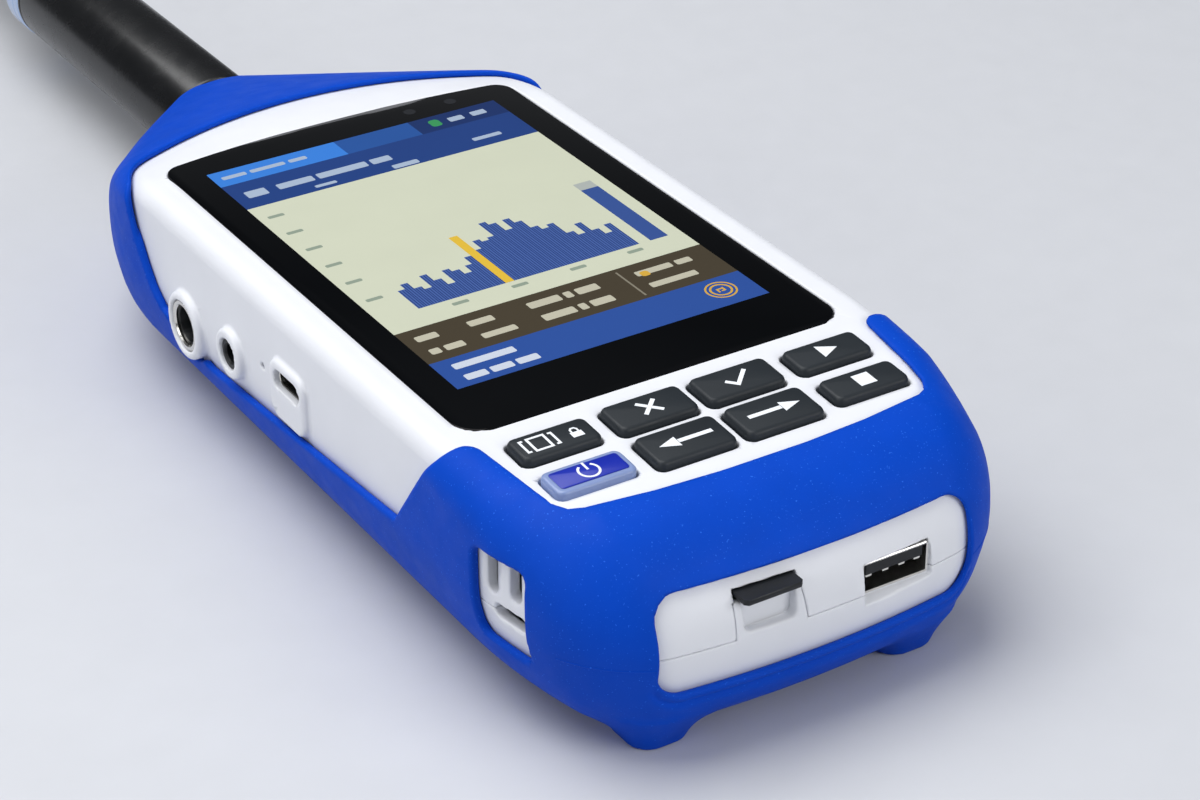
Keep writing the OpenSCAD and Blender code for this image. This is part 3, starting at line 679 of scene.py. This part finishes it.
# key rubber with a painted highlight: its sharp edges are lightened
KEY = material("key_rubber", srgb(24, 31, 37), 0.5, (4200, 0.14), 0.08, edge_highlight=0.3,
               edge_highlight_colour=srgb(60, 62, 66), specular=0.35)
RIM = material("key_rim", srgb(128, 146, 190), 0.34, (3000, 0.06), 0.06, coat=0.2, subsurface=0.3)
CAP = material("key_cap", srgb(4, 34, 160), 0.38, (3600, 0.06), 0.05)
LEGEND = material("legend_print", srgb(232, 236, 242), 0.5, (5000, 0.08), 0.02)
BARREL = material("black_metal", srgb(12, 13, 15), 0.26, (900, 0.01), 0.1, specular=0.5)
RING = material("blue_metal", srgb(176, 194, 224), 0.2, (2500, 0.06), 0.05, metal=1.0, brushed=(1, 12, 1))
BRIGHT = material("bright_metal", srgb(214, 212, 206), 0.2, (2400, 0.05), 0.04, metal=1.0,
                  brushed=(1, 8, 1))
SLEEVE = material("bright_metal_sleeve", srgb(214, 212, 208), 0.3, (2400, 0.06), 0.04, metal=1.0)
GOLD = material("gold_metal", srgb(226, 178, 92), 0.25, (2400, 0.05), 0.05, metal=1.0)
# black plastic with a painted highlight: its sharp edges are lightened
BLACK = material("black_plastic", srgb(15, 18, 21), 0.4, (4000, 0.12), 0.08, edge_highlight=0.2,
                 edge_highlight_colour=srgb(50, 52, 56), specular=0.3)
# dark plastic with a painted highlight: its sharp edges are lightened
DARK = material("dark_plastic", srgb(58, 60, 64), 0.45, (3800, 0.14), 0.08, edge_highlight=0.2,
                edge_highlight_colour=srgb(100, 102, 106))
BOARD = material("circuit_board", srgb(16, 84, 52), 0.4, (2200, 0.1), 0.12, coat=0.3)
FOAM = material("foam", srgb(48, 50, 54), 0.9, (1500, 0.5), 0.2, sheen=0.3)
MODULE = material("display", srgb(96, 102, 110), 0.35, (2000, 0.05), 0.06, metal=0.6)
CAPSULE = material("capsule_metal", srgb(196, 196, 192), 0.24, (2400, 0.05), 0.04, metal=1.0,
                   brushed=(1, 8, 1))


SCREEN_DIM = 0.72


def screen(name, colour, glow=0.12):
    """One colour of the screen's picture, under the glass and faintly lit."""
    dimmed = tuple(SCREEN_DIM * c for c in srgb(*colour)[:3]) + (1.0,)
    return material(name, dimmed, 0.12, (800, 0.01), 0.015, glow=glow, specular=0.2)


# ---------------------------------------------------------------- shells and jacket

# grid lines are close together where a shell has small features
ACROSS = spaced(-46.5, (-17, 0.45), (-15.4, 0.2), (-5, 0.4), (-3.4, 0.2), (7, 0.4), (23, 0.3), (46.5, 0.45))
LOWER_END = [(-43.6, 0.25), (-25, 0.5), (-2, 0.4), (45, 1.0), (99, 0.5)]
shell_kw = dict(node_body="housing", material=WHITE, slot="white_plastic")
surface("front_shell_form", front_form,
        [ACROSS, spaced(-49, *LOWER_END, (104, 0.8), (121, 0.5), (172, 1.0)),
         spaced(9, (25.8, 0.4), (30, 0.2), (43, 0.4))], replaces=["front_shell"], **shell_kw)
surface("rear_shell_form", rear_form,
        [ACROSS, spaced(-49, *LOWER_END, (113, 0.28), (172, 1.0)),
         spaced(2.4, (19.6, 0.4), (21.8, 0.2), (31.2, 0.35))], replaces=["rear_shell"], **shell_kw)
surface("jacket_form", jacket_form,
        [spaced(-47.5, (47.5, 0.5)), spaced(-50.5, (-20, 0.4), (14, 0.5), (95, 0.9), (174, 0.7)),
         spaced(-1, (44, 0.45))],
        node_body="housing", material=BLUE, slot="blue_rubber", replaces=["protective_jacket"])

LINE_Z = 20.5
LINE_R = 0.12
LINE_SINK = 0.03
LINE_SIDES = 6
LINE_CENTRE = (27.0, -29.5)
LINE_FROM, LINE_SWEEP, LINE_STEPS = 198, 60, 40


def outer_radius(cx, cy, angle):
    """Distance from a point inside the jacket to its outer surface at the height of the mould line."""
    lo, hi = 0.0, 30.0
    for _ in range(30):
        r = (lo + hi) / 2
        inside = body(cx + r * math.cos(angle), cy + r * math.sin(angle), LINE_Z, JACKET, LIFT) < 0
        lo, hi = (r, hi) if inside else (lo, r)
    return lo


for side, label in ((-1, "left"), (1, "right")):
    cx, cy = side * LINE_CENTRE[0], LINE_CENTRE[1]
    route = []
    for i in range(LINE_STEPS + 1):
        a = math.radians(LINE_FROM + LINE_SWEEP * i / LINE_STEPS)
        a = a if side < 0 else math.pi - a
        r = outer_radius(cx, cy, a) - LINE_SINK
        route.append((cx + r * math.cos(a), cy + r * math.sin(a), a))
    line = Build(lambda u, v, h: (u, v, h))
    rings = []
    for u, v, a in route:
        start = len(line.points)
        for k in range(LINE_SIDES):
            turn = 2 * math.pi * k / LINE_SIDES
            out, up = LINE_R * math.cos(turn), LINE_R * math.sin(turn)
            line.points.append((u + out * math.cos(a), v + out * math.sin(a), LINE_Z + up))
        rings.append(list(range(start, start + LINE_SIDES)))
    line.faces += [tuple(rings[0][::-1]), tuple(rings[-1])]
    for a, b in zip(rings, rings[1:]):
        line.join(a, b)
    line.done("mould_line_" + label, "housing", BLUE, "blue_rubber", sharp=80)


# ---------------------------------------------------------------- display

def glass_points(inset, steps=8, bow_steps=24):
    """Outline of the glass, drawn in by inset."""
    w, r = GLASS_W / 2 - inset, 5 - inset
    top_r = 4.0 - inset
    bow_r = GLASS_BOW - inset

    def bow(x):
        return GLASS_L - GLASS_BOW + math.sqrt(bow_r * bow_r - x * x)

    lean = math.asin((w - top_r) / (bow_r - top_r))
    cy = GLASS_L - GLASS_BOW + (bow_r - top_r) * math.cos(lean)
    points = corner_arc(r - w, inset + r, r, 180, steps) + corner_arc(w - r, inset + r, r, 270, steps)
    sweep = math.pi / 2 - lean
    points += [(w - top_r + top_r * math.cos(sweep * i / steps), cy + top_r * math.sin(sweep * i / steps))
               for i in range(steps + 1)]
    reach = points[-1][0]
    points += [(reach - 2 * reach * i / bow_steps, bow(reach - 2 * reach * i / bow_steps))
               for i in range(1, bow_steps)]
    points += [(-x, y) for x, y in reversed(points[2 * (steps + 1):3 * (steps + 1)])]
    return points


glass = Build(on_face(-0.1))
glass.stack([(glass_points(0.15), -1.1), (glass_points(0), -0.95), (glass_points(0), -0.3),
             (glass_points(0.08), -0.1), (glass_points(0.3), 0)])
glass.done("cover_glass", "housing", GLASS, "cover_glass", ["display_glass"])

UI_W, UI_TOP, UI_LOW = 61.8, 108.5, 13.7
UI_COLS, UI_ROWS = 500.0, 830.0
UI_FIRST, UI_LAYER = 0.004, 0.006


def ui(px, py):
    """Place of a point of the picture on the screen, counted from its upper left corner."""
    return (px / UI_COLS - 0.5) * UI_W, UI_TOP - py / UI_ROWS * (UI_TOP - UI_LOW)


def ui_box(build, x0, y0, x1, y1, level, r=0.0):
    """Thin plate on the screen. A higher level lies over a lower one."""
    (a, d), (c, b) = ui(x0, y0), ui(x1, y1)
    outline = rounded(a, c, b, d, r, steps=4) if r else [(a, b), (c, b), (c, d), (a, d)]
    build.plate(outline, UI_FIRST + UI_LAYER * (level - 1), UI_FIRST + UI_LAYER * level)


def ui_piece(name, colour, boxes, level, glow=0.12):
    build = Build(on_face(-0.1))
    for box in boxes:
        ui_box(build, *box[:4], level, box[4] if len(box) > 4 else 0)
    build.done(name, "housing", screen(name, colour, glow), "display", sharp=60)


def words(x, y, height, widths, gap=7):
    """Row of short bars that stands for a line of text."""
    out = []
    for w in widths:
        out.append((x, y + 0.18 * height, x + w, y + 0.82 * height, 0.35))
        x += w + gap
    return out


rng = random.Random(7)
BASE_ROW, BARS, BAR_X0, BAR_STEP, BAR_TALL = 588, 31, 65, 11.7, 205
HUMP_AT, HUMP_WIDTH = 18.5, 6.5
levels = []
for i in range(BARS):
    hump = math.exp(-((i - HUMP_AT) / HUMP_WIDTH) ** 2)
    levels.append(0.34 + 0.52 * hump + 0.1 * math.sin(1.9 * i) + rng.uniform(-0.05, 0.05))
bars, gaps = [], []
for i, level in enumerate(levels):
    x0 = BAR_X0 + BAR_STEP * i
    top = BASE_ROW - BAR_TALL * level
    bars.append((x0, top, x0 + BAR_STEP, BASE_ROW))
    for k in range(3):
        left = x0 + BAR_STEP * 0.36 * k
        gaps.append((left + 1.2, top + 2, left + 2.9, BASE_ROW))

ui_piece("ui_status_bar", (58, 126, 214), [(0, 0, 215, 55)], 1, 0.2)
ui_piece("ui_status_middle", (42, 86, 158), [(215, 0, 345, 55)], 1)
ui_piece("ui_status_end", (30, 52, 104), [(345, 0, 500, 55)], 1)
ui_piece("ui_status_green", (60, 150, 92), [(372, 14, 390, 40, 0.8)], 2)
ui_piece("ui_title_bar", (36, 66, 130), [(0, 55, 500, 150)], 1)
ui_piece("ui_chart", (206, 210, 188), [(0, 150, 500, 640)], 1, 0.2)
ui_piece("ui_strip", (74, 66, 52), [(0, 640, 500, 745)], 1, 0.05)
ui_piece("ui_bottom_bar", (46, 82, 158), [(0, 745, 500, 830)], 1)
ui_piece("ui_bars", (74, 102, 168), bars, 2)
ui_piece("ui_bar_gaps", (42, 66, 128), gaps, 3, 0.05)
ui_piece("ui_cursor", (222, 184, 62), [(205, 410, 219, BASE_ROW)], 4, 0.2)
ui_piece("ui_total", (56, 84, 150), [(447, 380, 477, BASE_ROW)], 2)
ui_piece("ui_total_hold", (176, 182, 178), [(447, 355, 477, 380)], 2)
ticks = [(14, 190 + 66 * i, 40, 199 + 66 * i, 0.3) for i in range(6)]
feet_marks = [(110 + 96 * i, 600, 136 + 96 * i, 609, 0.3) for i in range(4)]
ui_piece("ui_scale", (150, 164, 148), ticks + feet_marks, 2, 0.05)
ui_piece("ui_words_title", (168, 184, 206),
         words(14, 18, 18, [40, 58, 30]) + words(72, 88, 30, [60, 84, 34]) + words(20, 84, 38, [34])
         + words(404, 16, 26, [26]) + words(444, 16, 26, [26]) + words(250, 128, 22, [44])
         + words(120, 128, 14, [36]) + words(400, 110, 18, [50]), 2, 0.15)
ui_piece("ui_words_strip", (196, 192, 172),
         words(18, 658, 26, [34]) + words(100, 658, 26, [40]) + words(196, 656, 30, [52, 12, 36])
         + words(18, 702, 26, [16, 30]) + words(100, 702, 24, [54]) + words(196, 700, 30, [52, 12, 36])
         + words(372, 660, 24, [60, 26]) + words(372, 702, 24, [78]), 2, 0.12)
ui_piece("ui_strip_line", (140, 134, 118), [(350, 650, 353, 736)], 2, 0.05)
ui_piece("ui_words_bottom", (206, 214, 228),
         words(24, 758, 26, [96]) + words(24, 794, 26, [34, 34, 34], 6), 2, 0.15)
ui_piece("ui_mark", (214, 170, 66), [(378, 668, 392, 684, 0.6)], 3, 0.15)

marks = Build(on_face(-0.1))
for u in (14.5, 23.5):
    marks.plate(circle(u, 112.6, 1.2, 32), UI_FIRST, UI_FIRST + UI_LAYER)
marks.done("glass_marks", "housing", screen("glass_marks", (44, 46, 50), 0.02), "display", sharp=60)

badge = Build(on_face(-0.1))
for r, w in ((2.75, 0.35), (1.9, 0.4)):
    badge.stroke(circle(24.5, 19.1, r, 40), w, 0.01, 0.016, closed=True)
badge.stroke([(23.9, 18.4), (23.9, 19.5), (24.9, 19.5)], 0.35, 0.01, 0.016)
badge.stroke([(25.1, 19.8), (25.1, 18.7), (24.4, 18.7)], 0.35, 0.01, 0.016)
badge.done("ui_badge", "housing", screen("ui_badge", (214, 170, 66), 0.15), "display", sharp=60)


# ---------------------------------------------------------------- keys

KEY_RISE, KEY_DEPTH = 1.3, 4.3
FLANGE, FLANGE_T = 0.7, 1.2
SHOULDER = [(0, -KEY_DEPTH + FLANGE_T), (0, 0.35), (0.1, 0.72), (0.26, 1.02), (0.5, 1.22), (0.78, KEY_RISE)]


def key_body(name, material_used, slot, shoulder):
    """Key with its flange under the face. shoulder lists (inset, height) up to its top."""
    (x0, x1), (y0, y1) = KEYS[name]
    build = Build(on_keys)
    flange = rounded(x0 - FLANGE, x1 + FLANGE, y0 - FLANGE, y1 + FLANGE, 1.4)
    loops = [(flange, -KEY_DEPTH), (flange, -KEY_DEPTH + FLANGE_T)]
    loops += [(rounded(x0, x1, y0, y1, 1.5, inset), h) for inset, h in shoulder]
    build.stack(loops)
    return build.done(name + "_form", KEY_BODY[name], material_used, slot, [name], sharp=50)


KEY_BODY = {name: name[len("key_"):] + "_key" for name in KEYS}


def key_centre(name):
    (x0, x1), (y0, y1) = KEYS[name]
    return (x0 + x1) / 2, (y0 + y1) / 2


INK0, INK1 = KEY_RISE + 0.004, KEY_RISE + 0.03


def legend(name, strokes, fills=(), closed=()):
    """White print on a key: strokes and filled shapes round the key's centre."""
    cx, cy = key_centre(name)
    build = Build(on_keys)
    for path, width in strokes:
        build.stroke([(cx + u, cy + v) for u, v in path], width, INK0, INK1)
    for path, width in closed:
        build.stroke([(cx + u, cy + v) for u, v in path], width, INK0, INK1, closed=True)
    for path in fills:
        build.plate([(cx + u, cy + v) for u, v in path], INK0, INK1)
    build.done(name + "_legend", KEY_BODY[name], LEGEND, "white_plastic", sharp=60)


for name in KEYS:
    if name != "key_power":
        key_body(name, KEY, "key_rubber", SHOULDER)

POWER_SHOULDER = [(0, -KEY_DEPTH + FLANGE_T), (0, 0.5), (0.12, 0.85), (0.35, 1.05), (0.7, 1.12), (0.9, 1.12)]
key_body("key_power", RIM, "key_rim", POWER_SHOULDER)
cap = Build(on_keys)
(px0, px1), (py0, py1) = KEYS["key_power"]
cap.stack([(rounded(px0, px1, py0, py1, 1.7, 1.2), 0.75), (rounded(px0, px1, py0, py1, 1.7, 1.1), 1.2),
           (rounded(px0, px1, py0, py1, 1.7, 1.25), KEY_RISE)])
cap.done("power_cap_form", "power_key", CAP, "key_cap", ["power_cap"], sharp=40)

legend("key_page", [([(-5.0, 1.6), (-5.6, 1.6), (-5.6, -1.6), (-5.0, -1.6)], 0.42),
                    ([(-0.4, 1.6), (0.2, 1.6), (0.2, -1.6), (-0.4, -1.6)], 0.42),
                    ([(3.2, -0.2), (3.2, 0.55), (3.5, 0.95), (4.1, 0.95), (4.4, 0.55), (4.4, -0.2)], 0.34)],
       fills=[[(2.75, -1.5), (4.85, -1.5), (4.85, -0.1), (2.75, -0.1)]],
       closed=[([(-4.2, -1.75), (-1.2, -1.75), (-1.2, 1.75), (-4.2, 1.75)], 0.45)])
legend("key_escape", [([(-1.7, -1.7), (1.7, 1.7)], 0.75), ([(-1.7, 1.7), (-0.28, 0.28)], 0.75),
                      ([(0.28, -0.28), (1.7, -1.7)], 0.75)])
legend("key_ok", [([(-2.3, 0.1), (-0.7, -1.5), (2.5, 1.8)], 0.75)])
legend("key_start", [], fills=[[(-1.5, -1.8), (2.0, 0), (-1.5, 1.8)]])
legend("key_stop", [], fills=[[(-1.6, -1.6), (1.6, -1.6), (1.6, 1.6), (-1.6, 1.6)]])
legend("key_left", [([(-1.4, 0), (5.0, 0)], 0.9)], fills=[[(-5.0, 0), (-1.5, -1.35), (-1.5, 1.35)]])
legend("key_right", [([(-5.0, 0), (1.4, 0)], 0.9)], fills=[[(5.0, 0), (1.5, 1.35), (1.5, -1.35)]])
legend("key_power", [(circle(0, 0, 1.75, 36, 125, 415), 0.42), ([(0, 0.25), (0, 2.3)], 0.42)])


# ---------------------------------------------------------------- microphone

MIC_Y, BARREL_L, RING_L = 170.9, 84.0, 7.0
RING_Y = MIC_Y + BARREL_L
NECK_Y = RING_Y + RING_L
CAPSULE_Y = NECK_Y + 60
GRID_Y = CAPSULE_Y + 12


def along_mic(u, v, a):
    """Maps a lathe's places to the microphone's axis."""
    return (u, a, AXIS - v)


lathe("preamp_barrel_form",
      [(0, MIC_Y), (10.0, MIC_Y), (10.4, MIC_Y + 0.25), (10.6, MIC_Y + 0.8), (10.6, RING_Y - 1.6),
       (10.45, RING_Y - 1.45), (10.45, RING_Y - 1.05), (10.6, RING_Y - 0.9), (10.6, RING_Y - 0.25),
       (10.35, RING_Y), (0, RING_Y)],
      along_mic, "microphone", BARREL, "black_metal", ["preamp_barrel"], 128)
lathe("preamp_ring_form",
      [(0, RING_Y), (10.5, RING_Y), (10.8, RING_Y + 0.4), (10.8, RING_Y + 2.2), (10.62, RING_Y + 2.4),
       (10.62, RING_Y + 2.8), (10.8, RING_Y + 3.0), (10.8, NECK_Y - 0.5), (10.5, NECK_Y), (0, NECK_Y)],
      along_mic, "microphone", RING, "blue_metal", ["preamp_ring"], 128)
lathe("preamp_neck_form",
      [(0, NECK_Y), (10.2, NECK_Y), (10.2, NECK_Y + 0.8), (9.9, NECK_Y + 1.4), (6.35, NECK_Y + 25),
       (6.0, NECK_Y + 27), (6.0, CAPSULE_Y - 1.2), (5.8, CAPSULE_Y - 0.9), (5.8, CAPSULE_Y - 0.3),
       (6.0, CAPSULE_Y), (0, CAPSULE_Y)],
      along_mic, "microphone", BARREL, "black_metal", ["preamp_neck"])
lathe("microphone_capsule_form",
      [(0, CAPSULE_Y), (6.2, CAPSULE_Y), (6.35, CAPSULE_Y + 0.3), (6.35, CAPSULE_Y + 3.0),
       (6.2, CAPSULE_Y + 3.2), (6.2, CAPSULE_Y + 3.6), (6.35, CAPSULE_Y + 3.8), (6.35, GRID_Y - 0.2),
       (6.2, GRID_Y), (0, GRID_Y)],
      along_mic, "microphone", CAPSULE, "capsule_metal", ["microphone_capsule"])


# ---------------------------------------------------------------- sockets

def hollow_tube(outline, depth, front, wall, to_xyz, **kw):
    """Thin metal sleeve: outline(inset), from front back to front - depth."""
    build = Build(to_xyz)
    build.tube([(outline(0), front - depth), (outline(0), front - 0.15), (outline(wall * 0.4), front),
                (outline(wall), front - 0.1), (outline(wall), front - depth)])
    build.done(sharp=40, **kw)


usb_x, usb_z = USB_A
hollow_tube(lambda i: rounded(usb_x - 6.6, usb_x + 6.6, usb_z - 2.9, usb_z + 2.9, 0.6, i), 14, -1.5, 0.45,
            on_end, name="usb_a_shell_form", node_body="housing", material=SLEEVE, slot="bright_metal",
            replaces=["usb_a_shell"])
tongue = Build(on_end)
tongue_box = (usb_x - 5.8, usb_x + 5.6, usb_z + 0.3, usb_z + 2.4, 0.25)
tongue.stack([(rounded(*tongue_box), -14), (rounded(*tongue_box), -1.9), (rounded(*tongue_box, 0.2), -1.7)])
tongue.done("usb_a_tongue_form", "housing", BLACK, "black_plastic", ["usb_a_tongue"], sharp=40)
contacts = Build(on_end)
for u in (-4.9, -1.6, 1.6, 4.6):
    contacts.plate(rounded(usb_x + u - 0.6, usb_x + u + 0.6, usb_z - 0.12, usb_z + 0.29, 0.05), -12, -2.0)
contacts.done("usb_a_contacts", "housing", BRIGHT, "bright_metal", sharp=40)

hollow_tube(lambda i: rounded(-USB_C[0] - 4.47, -USB_C[0] + 4.47, USB_C[1] - 1.63, USB_C[1] + 1.63, 1.6, i),
            7.4, -0.1, 0.3, on_left,
            name="usb_c_shell_form", node_body="housing", material=BRIGHT, slot="bright_metal",
            replaces=["usb_c_shell"])


def at_left(cy, cz):
    """Maps a lathe's places to an axis across the left side."""
    return lambda u, v, a: (-HALF_W - a, cy + u, cz + v)


lathe("headphone_jack_form", [(1.8, -12.9), (3.0, -12.9), (3.0, 0.5), (2.8, 0.9), (2.1, 0.9), (1.8, 0.5)],
      at_left(*HEADPHONES), "housing", BLACK, "black_plastic", ["headphone_jack"], 64)
lathe("signal_ring_form", [(3.85, -7.8), (4.95, -7.8), (4.95, 0.9), (4.7, 1.15), (4.1, 1.15), (3.85, 0.85)],
      at_left(*SIGNAL), "housing", BRIGHT, "bright_metal", ["signal_jack_ring"], 64)
lathe("signal_insert_form",
      [(0, -10.7), (3.8, -10.7), (3.8, 0.3), (3.5, 0.3), (3.4, 0.1), (3.4, -8.7), (0, -8.7)],
      at_left(*SIGNAL), "housing", BLACK, "black_plastic", ["signal_jack_insert"], 64)


# ---------------------------------------------------------------- memory card

card = Build(lambda u, v, h: (u, v, h))
c0, c1, cy0, cy1 = CARD_X - 5.5, CARD_X + 5.5, -47.8, -32.8
outline = [(c0 + 0.6, cy0), (c1 - 0.6, cy0), (c1, cy0 + 0.6), (c1, cy1 - 4.5), (c1 - 0.9, cy1 - 3.6),
           (c1 - 0.9, cy1 - 0.4), (c1 - 1.3, cy1), (c0 + 0.6, cy1), (c0, cy1 - 0.6), (c0, cy0 + 0.6)]
thin = [(CARD_X + (u - CARD_X) * 0.985, -40.3 + (v + 40.3) * 0.99) for u, v in outline]
card.stack([(thin, CARD_Z), (outline, CARD_Z + 0.12), (outline, CARD_Z + 0.88), (thin, CARD_Z + 1.0)])
card.done("memory_card_form", "card", BLACK, "black_plastic", ["memory_card"], sharp=40)


# ---------------------------------------------------------------- CAD nodes that stay

KEPT = {
    "glass_gasket": FOAM, "display_module": MODULE, "key_domes": BRIGHT, "keypad_board": BOARD,
    "front_board": BOARD, "main_board": BOARD, "card_socket": BRIGHT, "usb_c_tongue": BLACK,
    "note_microphone": BRIGHT, "speaker": BLACK, "battery_pack": DARK, "battery_contacts": GOLD,
    "kickstand_pin": BRIGHT, "tripod_insert": GOLD, "housing_screws": BRIGHT, "microphone_socket": BRIGHT,
    "microphone_plug": BRIGHT, "protection_grid": CAPSULE,
}
for node, mat in KEPT.items():
    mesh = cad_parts[node].data
    mesh.materials.clear()
    mesh.materials.append(mat)


def softened(node, node_body, mat, width):
    """Copy of a CAD piece with its edges rounded."""
    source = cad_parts[node]
    bm = bmesh.new()
    bm.from_mesh(source.data)
    bm.transform(source.matrix_world)
    bmesh.ops.remove_doubles(bm, verts=bm.verts, dist=1e-6)
    bmesh.ops.dissolve_limit(bm, angle_limit=math.radians(1), verts=bm.verts, edges=bm.edges)
    sharp = [e for e in bm.edges if len(e.link_faces) == 2 and e.calc_face_angle() > math.radians(40)]
    bmesh.ops.bevel(bm, geom=sharp, offset=width * MM, offset_type="OFFSET", segments=2, profile=0.5,
                    affect="EDGES", clamp_overlap=True)
    mesh = bpy.data.meshes.new(node + "_form")
    bm.to_mesh(mesh)
    bm.free()
    mesh.polygons.foreach_set("use_smooth", [True] * len(mesh.polygons))
    mesh.set_sharp_from_angle(angle=math.radians(35))
    mesh.materials.append(mat)
    obj = bpy.data.objects.new(node + "_form", mesh)
    bpy.context.scene.collection.objects.link(obj)
    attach(obj, node_body)
    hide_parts(node)


softened("battery_cover", "battery_door", WHITE, 0.25)
softened("kickstand", "stand", DARK, 0.4)


# ---------------------------------------------------------------- floor, light and camera

FLOOR = 3.0
floor_mesh = bpy.data.meshes.new("floor")
floor_mesh.from_pydata([(-FLOOR, -FLOOR, 0), (FLOOR, -FLOOR, 0), (FLOOR, FLOOR, 0), (-FLOOR, FLOOR, 0)], [],
                       [(0, 1, 2, 3)])
floor = bpy.data.objects.new("floor", floor_mesh)
floor_mesh.materials.append(material("floor", srgb(196, 198, 203), 0.6, (900, 0.05), 0.01))
bpy.context.scene.collection.objects.link(floor)


def area_light(name, place_m, target, size, power):
    light = bpy.data.lights.new(name, "AREA")
    light.shape, light.size, light.size_y = "RECTANGLE", size[0], size[1]
    light.energy = power
    obj = bpy.data.objects.new(name, light)
    obj.location = place_m
    obj.rotation_euler = (Vector(target) - Vector(place_m)).to_track_quat("-Z", "Y").to_euler()
    bpy.context.scene.collection.objects.link(obj)


bpy.context.scene.view_settings.view_transform = "Standard"
area_light("overhead", (-0.3, 0.25, 1.1), (0, 0, 0), (1.1, 1.1), 15.5)
area_light("left_soft", (-1.1, -0.35, 0.55), (0, 0, 0), (0.9, 0.5), 3.2)
area_light("front_soft", (0.5, -1.2, 0.6), (0, -0.1, 0), (0.9, 0.5), 7)
world = bpy.data.worlds.new("studio")
bpy.context.scene.world = world
world.use_nodes = True
sky, links = world.node_tree.nodes, world.node_tree.links
direction = sky.new("ShaderNodeTexCoord").outputs["Generated"]
split = sky.new("ShaderNodeSeparateXYZ")
rise = sky.new("ShaderNodeMapRange")
rise.interpolation_type = "SMOOTHSTEP"
for key, value in (("From Min", 0.55), ("From Max", 0.95), ("To Min", 0.12), ("To Max", 0.6)):
    rise.inputs[key].default_value = value
links.new(direction, split.inputs["Vector"])
links.new(split.outputs["Z"], rise.inputs["Value"])
links.new(rise.outputs["Result"], sky["Background"].inputs["Strength"])
sky["Background"].inputs["Color"].default_value = (0.86, 0.89, 0.94, 1)

# the camera's place and its three directions
EYE = (-0.2338, -0.5051, 0.2862)
RIGHT, DOWN, FORWARD = (0.8487, -0.5289, -0.0075), (-0.2717, -0.4237, -0.8641), (0.4538, 0.7354, -0.5033)
camera_data = bpy.data.cameras.new("camera")
camera_data.lens, camera_data.sensor_width = 90, 36
camera_data.clip_start, camera_data.clip_end = 0.01, 20
camera = bpy.data.objects.new("camera", camera_data)
turn = Matrix([[RIGHT[i], -DOWN[i], -FORWARD[i]] for i in range(3)]).to_4x4()
camera.matrix_world = Matrix.Translation(EYE) @ turn
bpy.context.scene.collection.objects.link(camera)
bpy.context.scene.camera = camera
